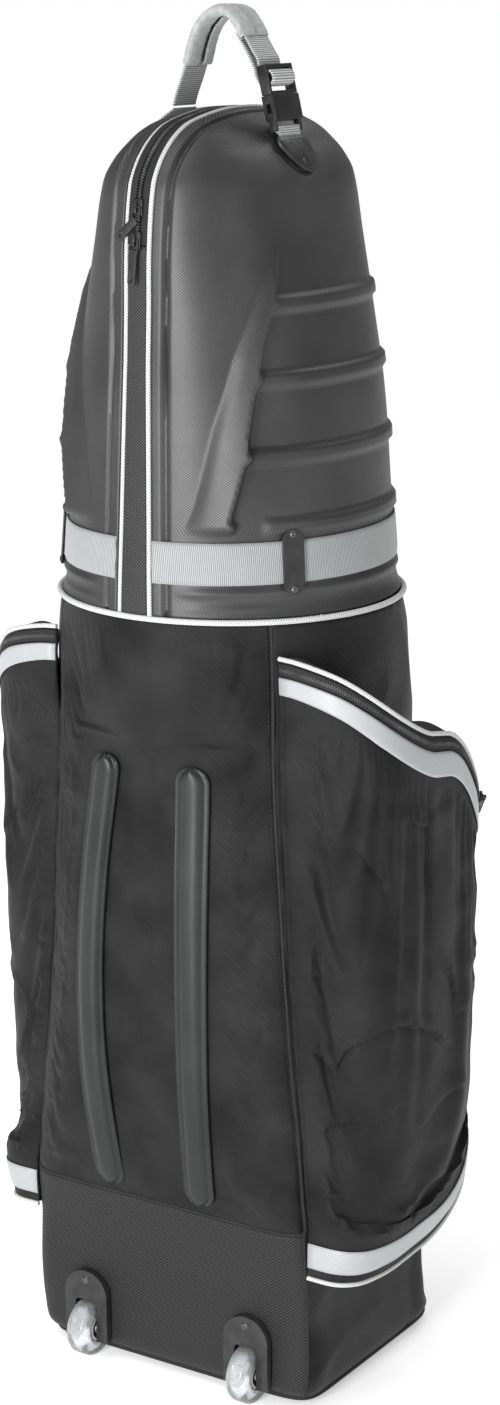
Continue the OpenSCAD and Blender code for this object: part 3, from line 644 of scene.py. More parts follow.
gloss_plastic = mottled("gloss_plastic", (grey(0.014), 0.22, 0.5), 90, 4,
                        [(0.3, grey(0.009)), (0.8, grey(0.022))], [(0.3, 0.16), (0.8, 0.34)])
piece("belt_buckle_socket", refined("belt_socket", 0.9, 3), gloss_plastic,
      instead=["belt_socket"])
piece("belt_buckle_plug", refined("belt_plug", 0.8, 3), gloss_plastic, "belt_plug",
      ["belt_plug"])


# ---- Handle anchors ----
# A teardrop plate on each shell is held by three hollow rivets and carries a webbing tab.
handle_y = -8
plate_outline = [(-26, 9), (-25.5, 13), (-22, 16), (-11, 16.5), (0, 16.6), (11, 16.5), (20, 15.6), (24, 12),
                 (25.5, 6), (25, -2), (23, -10), (19, -17), (13, -20.6), (6, -21.2), (-1, -19),
                 (-9, -13.5), (-17, -5), (-23, 3)]


def plate_mesh(side):
    """A teardrop plate with a raised border, tilted to lie against the shell."""
    bm = bmesh.new()
    rim = [bm.verts.new((0, y * mm, z * mm)) for y, z in plate_outline]
    face = bm.faces.new(rim)
    raised = bmesh.ops.extrude_face_region(bm, geom=[face])
    lifted = [g for g in raised["geom"] if isinstance(g, bmesh.types.BMVert)]
    bmesh.ops.translate(bm, vec=(2.6 * mm, 0, 0), verts=lifted)
    upper = [g for g in raised["geom"] if isinstance(g, bmesh.types.BMFace)]
    bmesh.ops.inset_region(bm, faces=upper, thickness=2.4 * mm, depth=0)
    bmesh.ops.inset_region(bm, faces=upper, thickness=0.5 * mm, depth=-0.7 * mm)
    bmesh.ops.recalc_face_normals(bm, faces=bm.faces)
    outer = [e for e in bm.edges if e.calc_face_angle(0) > 0.6 and max(v.co.x for v in e.verts) > 2.5 * mm]
    bmesh.ops.bevel(bm, geom=outer, offset=0.5 * mm, affect="EDGES", segments=2, profile=0.5, material=-1)
    bmesh.ops.translate(bm, vec=(1.7 * mm, 0, 0), verts=bm.verts)
    tilt = Matrix.Rotation(math.radians(-30), 4, "Y")
    bmesh.ops.transform(bm, matrix=Matrix.Translation((77.5 * mm, handle_y * mm, 1230 * mm)) @ tilt, verts=bm.verts)
    return flipped(bm) if side == "left" else bm


for side in ("left", "right"):
    piece("anchor_plate_" + side, plate_mesh(side), black_plastic, instead=["plate_" + side])
piece("plate_rivet_heads", refined("plate_rivets", 0.45, 3), rivet_finish,
      instead=["plate_rivets"])

grey_webbing, tree, shader = blank_finish("grey_webbing", (0.2, 0.21, 0.21), 0.65, 0.3)
shader.inputs["Sheen Weight"].default_value = 0.3
picks = ripple(tree, flat_cut(tree), 0, 2.1)
ends = ripple(tree, flat_cut(tree), 2.4, 0)
cloth_height = times(tree, picks, lifted(tree, ends, 0.25, 0.75))
shade(tree, shader, "Base Color", cloth_height, [(0.05, (0.11, 0.114, 0.116)), (0.8, (0.62, 0.63, 0.63))])
emboss(tree, shader, cloth_height, 0.5, 0.8)


def webbing_mesh(points, width, steps):
    """Flat webbing along a smooth line of (x, z), its outside to the left of the way it runs."""
    line = [Vector((p[0], handle_y, p[1])) for p in smoothed(points, steps)]

    def place(s, t):
        d = way(line, t)
        return (along(line, t) + Vector((0, (s - 0.5) * width, 0)) + Vector((-d.z, 0, d.x)) * 0.8) * mm
    return loft(12, steps, place)


left_tab = [(-70.5, 1245), (-65, 1254.5), (-57.5, 1260.5), (-50.5, 1264.9), (-48.2, 1266.2), (-46.4, 1267.6),
            (-46.6, 1269.3), (-48.2, 1269.7), (-49.4, 1268.5)]
piece("anchor_webbing_left", webbing_mesh(left_tab, 38, 60), grey_webbing,
      instead=["anchor_tab_left"], wall=1.3)
right_tab = [(74.2, 1240), (71.6, 1247), (70.9, 1252), (70.2, 1255.2), (67.6, 1256.7), (64.8, 1255.9),
             (63.3, 1253), (64.6, 1249.8), (67.6, 1248.2), (69.4, 1245.2), (71.4, 1240.6)]
piece("anchor_webbing_right", webbing_mesh(right_tab, 38, 80), grey_webbing,
      instead=["anchor_tab_right"], wall=1.3)


# ---- Handle webbing and buckle ----
# Ribbed webbing runs over the top, through the plug's frame, round its bar and back up,
# where it is sewn to itself. The side-release buckle is moulded in gloss plastic.
buckle_foot = Vector((59.55, 1283.1))
buckle_out = Vector((0.971, 0.240))
buckle_up = Vector((-0.240, 0.971))


def on_buckle(out, up):
    p = buckle_foot + buckle_out * out + buckle_up * up
    return (p.x, p.y)


handle_route = [
    (-47.3, 1270.4), (-44.5, 1280), (-38, 1296), (-33, 1310), (-28, 1328), (-21, 1344), (-10, 1356),
    (2, 1360.5), (14, 1358), (23, 1349), (31, 1336), (40.5, 1321.5), (44.8, 1315.6),
]
round_bar = [(-6.6, 29.5), (-4.6, 25), (0, 22), (5.2, 20.2), (6.4, 17), (6, 13.6), (2.6, 11.2), (-3, 10.9),
             (-6.6, 14), (-8.6, 20), (-9, 28)]
back_up = [(36.3, 1322), (28.4, 1334), (24, 1340)]
webbing_line = handle_route + [on_buckle(*p) for p in round_bar] + back_up
piece("handle_web", webbing_mesh(webbing_line, 38, 300), grey_webbing, "handle",
      ["handle_webbing"], wall=1.5)
piece("handle_buckle_socket", refined("handle_socket", 1.0, 3), gloss_plastic,
      instead=["handle_socket"])
piece("handle_buckle_plug", refined("handle_plug", 1.0, 3), gloss_plastic, "handle",
      ["handle_plug"])


# ---- Handle grip ----
# A padded cloth wrap goes round the webbing. It is sewn down the middle of its outside,
# which pulls it into two lobes, and its long edges meet in an open slit underneath.
grip_cloth, tree, shader = blank_finish("grip_cloth", (0.36, 0.38, 0.38), 0.75, 0.25)
shader.inputs["Sheen Weight"].default_value = 0.4
fine = woven(tree, flat_cut(tree), 1.3, 1.3)
mottle = feed(tree, "TexNoise", flat_cut(tree), None, 120, 5, 0.65)
mixed = times(tree, lifted(tree, fine, 0.35, 0.4), mottle)
shade(tree, shader, "Base Color", mixed, [(0.1, (0.2, 0.21, 0.21)), (0.5, (0.5, 0.515, 0.515))])
emboss(tree, shader, mixed, 0.5, 0.5)

grip_line = [Vector((p[0], handle_y, p[1])) for p in smoothed(handle_route[3:11], 90)]


def grip_point(s, t):
    a = math.radians(-90 + 4.5 + 351 * s)
    c = math.cos(a)
    n = math.sin(a)
    across = 22.5 * math.copysign(abs(c) ** 0.75, c)
    dent = math.exp(-((across / 3.2) ** 2))
    thick = (5.6 if n > 0 else 5.4) * abs(n) ** 0.6 * (1 - (0.42 if n > 0 else 0.2) * dent)
    p = along(grip_line, t)
    d = way(grip_line, t)
    puff = 0.9 * noise.noise(Vector((across * 0.07, t * 11, 5.3 + n)))
    puff += 0.4 * noise.noise(Vector((across * 0.2, t * 40, 1)))
    end = 1 - 0.18 * (hump(t, 0.04) + hump(1 - t, 0.04))
    high = math.copysign((thick + puff * abs(n)) * end, n)
    return (p + Vector((0, across * (1 + 0.02 * puff), 0)) + Vector((-d.z, 0, d.x)) * high) * mm


grip = piece("handle_grip_wrap", loft(72, 120, grip_point), grip_cloth, "handle", ["handle_pad"],
             crease=70, wall=1.3)


# ---- Fabric body: back panel ----
# The body is a sewn sack of black polyester twill over a foam lining. Its back panel hangs
# between two corner seams and carries the skid rails, and it has a little slack in it.
def billow(bm, held, slack, puff, cap, weight=1.0, frames=24):
    """Hangs the cloth for a while: points held by 1 stay, and none moves further than cap."""
    data = bpy.data.meshes.new("cloth")
    bm.to_mesh(data)
    cloth = bpy.data.objects.new("cloth", data)
    scene.collection.objects.link(cloth)
    pins = cloth.vertex_groups.new(name="held")
    for v in data.vertices:
        pins.add([v.index], held(v.co / mm), "REPLACE")
    run = cloth.modifiers.new("hang", "CLOTH")
    run.settings.quality = 6
    run.settings.mass = 0.25
    run.settings.tension_stiffness = 18
    run.settings.compression_stiffness = 18
    run.settings.shear_stiffness = 6
    run.settings.bending_stiffness = 0.35
    run.settings.shrink_min = -slack
    run.settings.use_pressure = puff != 0
    run.settings.uniform_pressure_force = puff
    run.settings.vertex_group_mass = "held"
    run.settings.pin_stiffness = 4
    run.settings.effector_weights.gravity = weight
    run.collision_settings.use_collision = False
    run.point_cache.frame_start = 1
    run.point_cache.frame_end = frames
    for k in range(1, frames + 1):
        scene.frame_set(k)
    hung = cloth.evaluated_get(bpy.context.evaluated_depsgraph_get()).data
    bm.verts.ensure_lookup_table()
    for v in bm.verts:
        move = hung.vertices[v.index].co - v.co
        reach = cap * mm * (1 - held(v.co / mm))
        if move.length > 0:
            far = move.length
            v.co += move * (reach * math.tanh(far / reach) / far if reach > 1e-6 else 0)
    scene.frame_set(1)
    bpy.data.objects.remove(cloth)
    bpy.data.meshes.remove(data)


def smoother(bm, cuts=1, soften=0.5):
    """Cuts every face finer and eases the new points."""
    bmesh.ops.subdivide_edges(bm, edges=bm.edges[:], cuts=cuts, use_grid_fill=True, smooth=0)
    inner = [v for v in bm.verts if not v.is_boundary]
    bmesh.ops.smooth_vert(bm, verts=inner, factor=soften, use_axis_x=True, use_axis_y=True, use_axis_z=True)


def nudged(bm, by):
    """Moves every point along its normal by by(place in millimetres)."""
    bm.normal_update()
    moves = [(v, v.normal.copy() * by(v.co / mm) * mm) for v in bm.verts]
    for v, move in moves:
        v.co += move


seam_y = -118
kick_top = 196


def seam_turn(z):
    return turn_at_y(row_at(body, z), -seam_y)


def wrinkle(p, size, seed):
    """Broad folds that bunch into ridges, from -1 to 1."""
    q = Vector((p.x / size, p.y / size, p.z / (size * 0.62)))
    bend = noise.noise(q * 0.5 + Vector((seed, 2, 7))) * 1.6
    return 1 - 2.4 * abs(noise.noise(q + Vector((bend, seed, bend)))) - 0.45


rails = {"left": (-1, 20, 7), "right": (1, -1, 0)}
rail_foot = 204
rail_head = 660
rail_length = rail_head - rail_foot
rail_half = 18.5


def rail_x(z, side, bow, lean):
    f = (z - rail_foot) / rail_length
    return side * (50 + bow * math.sin(math.pi * f) + lean * (1 - f))


def from_rail(x, z):
    """Distance to the nearer rail."""
    end = max(0, 221 - z, z - 643)
    near = min(max(z, rail_foot), rail_head)
    return min(math.hypot(x - rail_x(near, *bend), end) for bend in rails.values())


def back_hold(p):
    z = p.z
    edge = min(z - kick_top, 802 - z, width_at(body, z, seam_y) - abs(p.x))
    return 1 - min(ease(edge, 2, 26), ease(from_rail(p.x, z), 20, 46))


def back_point(s, t):
    z = kick_top + 0.5 + 605 * t
    end = 90 - seam_turn(z) - 0.15
    return section(row_at(body, z), -90 - end + 2 * end * s) * mm


def back_folds(p):
    loose = 1 - back_hold(p)
    edge = width_at(body, p.z, seam_y) - abs(p.x)
    pucker = 2.4 * math.exp(-((edge - 6) / 15) ** 2) * noise.noise(Vector((p.z * 0.05, p.x * 0.014, 4)))
    drawn = 1.8 * loose * math.exp(-((from_rail(p.x, p.z) - 26) / 14) ** 2)
    drawn *= noise.noise(Vector((p.z * 0.045, p.x * 0.01, 9)))
    crease = drawn + 3 * loose * wrinkle(p, 120, 3.3) * (0.55 + 0.45 * ease(p.z, 420, 620))
    pressed = 0.9 * (1 - ease(from_rail(p.x, p.z), 15, 25))
    return crease + pucker * ease(edge, 0, 4) - 1.6 * (1 - ease(edge, 0, 5)) - pressed


body_twill, tree, shader = blank_finish("body_twill", grey(0.01), 0.6, 0.15)
shader.inputs["Sheen Weight"].default_value = 0.05
shader.inputs["Sheen Roughness"].default_value = 0.4
diagonal = ripple(tree, flat_cut(tree), 3.1, 3.1)
yarns = woven(tree, flat_cut(tree), 2.0, 2.0)
cloth = feed(tree, "Math", lifted(tree, diagonal, 0.6, 0.1), yarns, operation="ADD")
patchy = feed(tree, "TexNoise", flat_cut(tree), None, 14, 5)
cloth_tone = times(tree, cloth, patchy)
shade(tree, shader, "Base Color", cloth_tone, [(0.25, grey(0.001)), (0.8, grey(0.03))])
shade(tree, shader, "Roughness", cloth, [(0.2, (0.75,) * 3), (1.2, (0.46,) * 3)])
emboss(tree, shader, cloth, 0.4, 0.7)

panel = loft(56, 120, back_point)
billow(panel, back_hold, 0.018, 0.3, 5)
smoother(panel)
nudged(panel, back_folds)
piece("back_panel_cloth", panel, body_twill, instead=["back_panel"], wall=3)


# ---- Fabric body: side walls ----
# Each side wall runs from the back seam round to the main zip at the front. Below it is
# cut from the same twill all the way down, with broader folds low down, and it shows above and below the pocket.
def side_start(z):
    above = -seam_turn(z) + 0.25
    if z > kick_top:
        return above
    return -turn_at_x(row_at(body, z), row_at(body, z)[1] - 7)


def side_point(s, t):
    z = 3 + 798.5 * t
    row = row_at(body, z)
    start = side_start(z)
    return section(row, start + (turn_at_x(row, 11) - start) * s) * mm


def side_folds(p):
    edge = min(p.z - 3, 802 - p.z, 3 * (abs(p.x) - 11) if p.y > 0 else 99)
    high = 1.8 * wrinkle(p, 110, 8.1) * ease(edge, 2, 40)
    low = (1 - ease(p.z, 120, 190)) * 2.4 * noise.noise(Vector((p.x * 0.02, p.y * 0.035, p.z * 0.004 + 9)))
    draw = 1.2 * hump(p.z - 797, 9) * noise.noise(Vector((p.x * 0.08, p.y * 0.08, 2)))
    return high + low * ease(edge, 0, 20) + draw


wall_right = loft(110, 170, side_point)
nudged(wall_right, side_folds)
wall_left = flipped(wall_right.copy())
for side, bm in (("right", wall_right), ("left", wall_left)):
    piece("side_wall_cloth_" + side, bm, body_twill, instead=["side_wall_" + side], wall=3)


# ---- Kick panel, floor and stiffener ----
# The foot of the case is faced with coarse ballistic weave that wraps under the edge. A
# coated floor and a board inside it keep the base flat.
def kick_point(s, t):
    z = 3 + 190 * t
    x = (row_at(body, z)[1] - 8) * math.sin(math.radians(90 * (2 * s - 1)))
    return Vector((x, -depth_at(body, z, x), z)) * mm


def kick_folds(p):
    fill = 5 * hump(p.x + 168, 60) * hump(p.z - 90, 88)
    return fill + 0.8 * noise.noise(Vector((p.x * 0.012, p.z * 0.012, 6))) - 1.2 * hump(193 - p.z, 3.5)


ballistic, tree, shader = blank_finish("ballistic_weave", grey(0.015), 0.5, 0.2)
basket = woven(tree, flat_cut(tree), 4.6, 3.4)
strands = ripple(tree, flat_cut(tree), 1.15, 0)
weave_height = times(tree, basket, lifted(tree, strands, 0.2, 0.8))
shade(tree, shader, "Base Color", weave_height, [(0.15, grey(0.002)), (0.8, grey(0.042))])
emboss(tree, shader, weave_height, 0.6, 0.8)

wheel_x = 98
kick = loft(150, 76, kick_point)
nudged(kick, kick_folds)
for side in (-1, 1):
    held = [f for f in kick.faces if abs(f.calc_center_median().x / mm - side * wheel_x) < 17.2
            and f.calc_center_median().z / mm < 68]
    bmesh.ops.delete(kick, geom=held, context="FACES")
piece("kick_panel_cloth", kick, ballistic, instead=["kick_panel"], wall=3)

coated = mottled("coated_cloth", (grey(0.014), 0.45, 0.3), 700, 3, [(0.3, grey(0.008)), (0.8, grey(0.03))],
                 deep=(0.2, 0.6))
skin = refined("base_skin", 0.5)
under = [v for v in skin.verts if v.co.z < 2.4 * mm]
bmesh.ops.scale(skin, vec=(0.93, 1, 1), verts=under)
piece("floor_skin", skin, coated, instead=["base_skin"])
board_grey = mottled("board_grey", (grey(0.04), 0.55, 0.3), 300, 4, [(0.3, grey(0.025)), (0.8, grey(0.08))])
piece("floor_board", refined("base_board", 0.8), board_grey, instead=["base_board"])


# ---- Skid rails ----
# Two padded strips of smooth black leather cloth protect the back when it slides. Each
# has a rounded ridge and a flat flange that is stitched to the panel all round.
leather, tree, shader = blank_finish("rail_leather", grey(0.02), 0.36, 0.35)
pores = feed(tree, "TexVoronoi", object_place(tree), None, 900)
tone = feed(tree, "TexNoise", object_place(tree), None, 12, 5)
shade(tree, shader, "Base Color", tone, [(0.3, (0.01, 0.0108, 0.0108)), (0.75, (0.022, 0.0236, 0.0232))])
shade(tree, shader, "Roughness", tone, [(0.3, (0.3,) * 3), (0.8, (0.44,) * 3)])
emboss(tree, shader, pores, 0.12, 0.35)


def rail_round(z):
    d = min(z - rail_foot, rail_head - z)
    return 1 if d > 17 else math.sqrt(max(0, 1 - (1 - d / 17) ** 2))


def rail_place(*bend):
    def place(s, t):
        z = rail_foot + rail_length * (t - math.sin(2 * math.pi * t) * 0.012)
        full = max(0.02, rail_round(z))
        across = 2 * s - 1
        x = rail_x(z, *bend) + across * rail_half * full
        edge = rail_half * full * (1 - abs(across))
        ridge = 6 * max(0, 1 - max(0, 1 - (edge - 6) / 12.5) ** 2.6) ** 0.6 if edge > 6 else 0
        flange = 2.6 * ease(edge, 0, 0.8) - 0.6 * hump(edge - 2.4, 0.9)
        sag = 0.35 * noise.noise(Vector((z * 0.02, bend[0], across)))
        return Vector((x, -depth_at(body, z, x) - flange - ridge - sag * ease(edge, 4, 9), z)) * mm
    return place


for side, bend in rails.items():
    strip = loft(40, 220, rail_place(*bend))
    bmesh.ops.remove_doubles(strip, verts=strip.verts, dist=0.00003)
    piece("skid_rail_strip_" + side, strip, leather, instead=["rail_" + side],
          crease=60, wall=0.9)


def stitches(line, out_at, pitch=4.2, long=2.8, thick=0.45):
    """A row of thread stitches that lie on a line, in millimetres."""
    bm = bmesh.new()
    spots = even(line, pitch)
    for k in range(1, len(spots) - 1):
        ahead = (spots[k + 1] - spots[k - 1]).normalized()
        out = out_at(spots[k])
        side = ahead.cross(out).normalized()
        place = Matrix((side, ahead, side.cross(ahead))).transposed().to_4x4()
        place.translation = spots[k] * mm
        size = (thick * mm, long * mm, thick * mm)
        bmesh.ops.create_icosphere(bm, subdivisions=1, radius=0.5, matrix=place @ Matrix.Diagonal((*size, 1)))
    return bm


thread, tree, shader = blank_finish("black_thread", grey(0.035), 0.5, 0.3)
lay = feed(tree, "TexWave", object_place(tree), 900, 2, 2)
shade(tree, shader, "Base Color", lay, [(0.2, grey(0.02)), (0.8, grey(0.09))])


def rail_seam(*bend):
    """Line of the stitching, 3 mm in from the rail's edge."""
    levels = [206.4 + 451.2 * k / 120 for k in range(121)]
    made = []
    for edge, run in ((1, levels), (-1, reversed(levels))):
        for z in run:
            full = max(0.0, rail_half * rail_round(z) - 3)
            made.append((rail_x(z, *bend) + edge * full, z))
    return [(x, -depth_at(body, z, x) - 2.5, z) for x, z in made]


sewing = [stitches(rail_seam(*bend), lambda p: Vector((0, -1, 0))) for bend in rails.values()]
piece("rail_stitching", joined(*sewing), thread)


# ---- Body seams ----
# The panels are joined by turned seams, bound inside with a narrow black tape that shows
# as a dark cord in each join. A line of lockstitch runs just beside the corner seams.
def corner_line(side, inset=0.0):
    made = []
    for k in range(122):
        z = 197 + 604 * k / 121
        row = row_at(body, z)
        turn = -(seam_turn(z) + math.degrees(inset / 150))
        p = section(row, turn, -0.9 if not inset else 0.3)
        made.append(Vector((side * p.x, p.y, p.z)))
    return made


bindings = [cord_mesh(corner_line(side), 1.9, 8) for side in (-1, 1)]
for side in (-1, 1):
    foot = []
    for z in range(6, 200, 4):
        x = row_at(body, z)[1] - 7.6
        foot.append((side * x, -depth_at(body, z, x) + 0.6, z))
    bindings.append(cord_mesh(even(foot, 4), 1.5, 8))
waist = [(x, -depth_at(body, 194.6, x) + 0.8, 194.6) for x in range(-160, 161, 4)]
bindings.append(cord_mesh(even(waist, 4), 1.7, 8, Vector((0, 0, 1))))
hem = [section(row_at(body, 9), turn, 0.2) for turn in range(-90, 271, 3)]
bindings.append(cord_mesh(even(hem, 4), 2.7, 8, Vector((0, 0, 1))))
piece("seam_bindings", joined(*bindings), tape_cloth)
rows = [stitches(corner_line(side, 5.0), lambda p: Vector((p.x, p.y, 0)).normalized(), 4.6, 3.0, 0.5)
        for side in (-1, 1)]
over_kick = [(x, -depth_at(body, 190.5, x) - 0.3, 190.5) for x in range(-152, 153, 4)]
rows.append(stitches(even(over_kick, 4), lambda p: Vector((0, -1, 0)), 4.6, 3.0, 0.5))
piece("seam_stitching", joined(*rows), thread)


# ---- Side pockets ----
# Each side carries a deep bellows pocket of the same twill. It is cut full, so it bulges,
# sags over its lower edge, and puckers along the corner seam it is sewn into.
pocket_reach = smoothed([[90, 200], [150, 220], [200, 235], [300, 243], [500, 245], [600, 242], [700, 235],
                         [775, 226]], 60)
pocket_top = smoothed([[-90, 768], [-60, 752], [-30, 724], [0, 684], [30, 616], [60, 588], [90, 574]], 80)
pocket_low = smoothed([[-90, 152], [-60, 150], [-30, 148], [0, 150], [30, 182], [60, 226], [90, 250]], 80)


def high(turn):
    return lookup(turn, pocket_top)


def low(turn):
    return lookup(turn, pocket_low)


def pocket_plan(z):
    """Where a pocket starts on the wall, its reach, middle and half length at a height."""
    start = width_at(body, z, -112) + 1
    front = depth_at(body, z, start, True) + 3.4
    return start, lookup(z, pocket_reach) - start, (front + seam_y) / 2, (front - seam_y) / 2


def pocket_point(z, turn, out=0.0):
    start, reach, middle, half = pocket_plan(z)
    c = math.cos(math.radians(turn))
    s = math.sin(math.radians(turn))
    e = 2 / 3.5
    y = middle + (half + out) * math.copysign(abs(s) ** e, s)
    return Vector((start + (reach + out) * max(0, c) ** e, y, z))


def pocket_turn(p):
    start, reach, middle, half = pocket_plan(p.z)
    f = min(1, max(-1, (p.y - middle) / half))
    return math.degrees(math.copysign(math.asin(abs(f) ** 1.75), f))


def from_bands(turn, z):
    """Distances down from the upper silver band and up from the lower one."""
    return high(turn) - 42 - z, z - low(turn) - 37


def pocket_skin(swell):
    def place(s, t):
        turn = -90 + 180 * s
        z = low(turn) + t * (high(turn) - low(turn))
        return pocket_point(z, turn, swell * ease(min(from_bands(turn, z)), 0, 60)) * mm
    return place


def around(p):
    """Distance round the pocket from the corner seam, and the whole way round."""
    start, reach, middle, half = pocket_plan(p.z)
    out = abs(p.x) - start
    far = 2 * reach + 2 * half
    return (out + p.y - seam_y if p.y < middle else 2 * reach - out + p.y - seam_y), far


def pocket_hold(p):
    below, above = from_bands(pocket_turn(p), p.z)
    gone, far = around(p)
    return 1 - min(ease(below, 0, 26), ease(above, 0, 26), ease(min(gone, far - gone), 3, 34))


fold_lines = [
    ((2, 394), (46, 374), 7, 3.4), ((46, 374), (88, 406), 7, 3.6), ((88, 406), (150, 414), 8, 3.2),
    ((150, 414), (236, 366), 9, 2.8), ((2, 622), (70, 600), 8, 2.4), ((0, 466), (62, 458), 8, 2.4),
    ((2, 548), (48, 560), 8, 2.0), ((80, 606), (140, 536), 11, 2.6), ((0, 300), (76, 322), 9, 2.4),
    ((70, 300), (128, 330), 10, 2.2), ((150, 620), (214, 596), 10, 2.4), ((226, 470), (262, 400), 11, 2.6),
    ((2, 246), (60, 236), 9, 2.4), ((4, 690), (60, 668), 8, 2.2), ((176, 300), (250, 322), 11, 2.2),
]


def fold_height(y, z):
    """Ridges along the given lines, as (distance round, height), each with a hollow below it."""
    out = 0
    for (y0, z0), (y1, z1), half, tall in fold_lines:
        f = min(1, max(0, ((y - y0) * (y1 - y0) + (z - z0) * (z1 - z0)) / ((y1 - y0) ** 2 + (z1 - z0) ** 2)))
        bow = 5 * math.sin(math.pi * f)
        gap = math.hypot(y - y0 - f * (y1 - y0), z - z0 - f * (z1 - z0) - bow)
        sign = 1 if z > z0 + f * (z1 - z0) + bow - half * 0.5 else -0.7
        out += sign * tall * hump(gap, 1.9 * half) * (0.5 + 0.5 * math.sin(math.pi * min(1, max(0, f * 1.1))))
    return out


def pocket_folds(seed, tall):
    def folds(p):
        loose = 1 - pocket_hold(p)
        beside = around(p)[0]
        pucker = 2.6 * math.exp(-((beside - 9) / 12) ** 2)
        pucker *= noise.noise(Vector((beside * 0.03, seed, p.z * 0.05)))
        edge = ease(min(high(pocket_turn(p)) - p.z, p.z - low(pocket_turn(p))), 0, 14)
        broad = 3.4 * noise.noise(Vector((p.x * 0.009, p.y * 0.012 + seed, p.z * 0.008)))
        fine = 1.7 * wrinkle(p, 95, seed)
        return tall * (loose * (fold_height(beside, p.z + 9 * seed) + broad + fine) + pucker * edge)
    return folds


for side, seed, swell, tall in (("right", 0.0, 1.5, 1.0), ("left", 2.7, -7.0, 0.7)):
    skin = loft(84, 104, pocket_skin(swell))
    billow(skin, pocket_hold, 0.045, 1.1, 13)
    smoother(skin)
    nudged(skin, pocket_folds(seed, tall))
    if side == "left":
        flipped(skin)
    pocket = piece("pocket_cloth_" + side, skin, body_twill, instead=["pocket_" + side],
                   wall=2.4)


# ---- Pocket lids ----
# A dark gusset closes the top and bottom of each pocket back to the wall. The top one is
# padded and lies in a shallow arch behind the cord.
def lid(rise, drop, arch):
    def place(s, t):
        turn = -86 + 172 * s
        z = rise(turn) + drop
        outer = pocket_point(z, turn, -2.6)
        inner = min(outer.x - 0.5, width_at(body, z, outer.y) + 1.5)
        lift = arch * math.sin(math.pi * min(1, t * 1.12)) ** 0.8 * ease(outer.x - inner, 2, 40)
        crease = 1.4 * noise.noise(Vector((outer.y * 0.03, t * 2.2, drop))) * math.sin(math.pi * t)
        return Vector((outer.x + t * (inner - outer.x), outer.y, z + lift + crease)) * mm
    return loft(80, 18, place)


gusset_cloth, tree, shader = blank_finish("gusset_cloth", grey(0.012), 0.7, 0.2)
rows_of = ripple(tree, flat_cut(tree), 2.2, 2.2)
shade(tree, shader, "Base Color", rows_of, [(0.1, grey(0.006)), (0.8, grey(0.026))])
emboss(tree, shader, rows_of, 0.25, 0.6)
for side in ("right", "left"):
    upper = lid(high, -0.6, 9)
    lower = lid(low, 1.4, -4)
    bmesh.ops.reverse_faces(lower, faces=lower.faces)
    lids = joined(upper, lower)
    if side == "left":
        flipped(lids)
    bmesh.ops.reverse_faces(lids, faces=lids.faces)
    piece("pocket_gusset_cloth_" + side, lids, gusset_cloth,
          instead=["pocket_gusset_" + side], wall=1.6)


# ---- Pocket bands, zips and cords ----
# A silver reflective band is sewn round the top and the bottom of each pocket. Above the
# upper one runs a coil zip on dark tape, and white cords finish both edges.
silver, tree, shader = blank_finish("silver_band", (0.42, 0.44, 0.45), 0.38, 0.5)
shader.inputs["Sheen Weight"].default_value = 0.2
satin = ripple(tree, flat_cut(tree), 0, 1.4)
streak = feed(tree, "TexNoise", flat_cut(tree), None, 30, 4)
silver_tone = times(tree, satin, lifted(tree, streak, 0.7, 0.6))
shade(tree, shader, "Base Color", silver_tone, [(0.05, (0.26, 0.275, 0.28)), (0.8, (0.45, 0.465, 0.47))])
shade(tree, shader, "Roughness", streak, [(0.3, (0.3,) * 3), (0.8, (0.48,) * 3)])
emboss(tree, shader, silver_tone, 0.15, 0.5)


def band(lower, upper, out, ripple_by=0.5):
    def place(s, t):
        turn = -90 + 180 * s
        a = lower(turn)
        z = a + t * (upper(turn) - a)
        wave = ripple_by * noise.noise(Vector((turn * 0.07, z * 0.04, 6)))
        return pocket_point(z, turn, out + wave + 0.5 * (1 - (2 * t - 1) ** 6)) * mm
    return loft(120, 8, place)


def band_width(turn):
    return lookup(turn, [(-90, 17), (-40, 25), (90, 25)])


def pocket_line(edge, lift, out=0.0):
    return even([pocket_point(edge(-90 + 2 * k) + lift, -90 + 2 * k, out) for k in range(91)], 3)


def sided_piece(name, side, bm, finish, instead, wall=0):
    if side == "left":
        flipped(bm)
    piece(name + side, bm, finish, instead=instead, wall=wall)


def pocket_out(p, ahead):
    flat = ahead.cross(Vector((0, 0, 1)))
    return (flat if flat.x > 0 or (flat.x == 0 and flat.y < 0) else -flat).normalized()


for side in ("right", "left"):
    upper = band(lambda a: high(a) - 15 - band_width(a), lambda a: high(a) - 15, 1.5)
    lower = band(lambda a: low(a) + 9, lambda a: low(a) + 35, 1.5)
    sided_piece("silver_bands_", side, joined(upper, lower), silver,
                ["pocket_trim_" + side], wall=0.9)
    tape = band(lambda a: high(a) - 13, lambda a: high(a) - 1.5, 0.9, 0.3)
    sided_piece("pocket_zip_tape_", side, tape, tape_cloth, ["pocket_zip_" + side], wall=0.8)
    coil = zip_teeth(pocket_line(high, -7.5, 1.6), pocket_out, 2.6, (3.0, 0.9, 1.2))
    sided_piece("pocket_zip_coil_", side, coil, zip_black, [])
    cords = [cord_mesh(pocket_line(high, 2.6, 0.2), 2.3, 10, Vector((0, 0, 1))),
             cord_mesh(pocket_line(low, -2.6, 0.2), 2.3, 10, Vector((0, 0, 1)))]
    sided_piece("pocket_cords_", side, joined(*cords), white_cord, ["pocket_piping_" + side])
    name = "pocket_slider_" + side
    piece(name + "_casting", refined(name, 0.35), slider_black, name, [name])
    name = "pocket_pull_" + side
    piece(name + "_rubber", refined(name, 0.55), pull_rubber, name, [name])


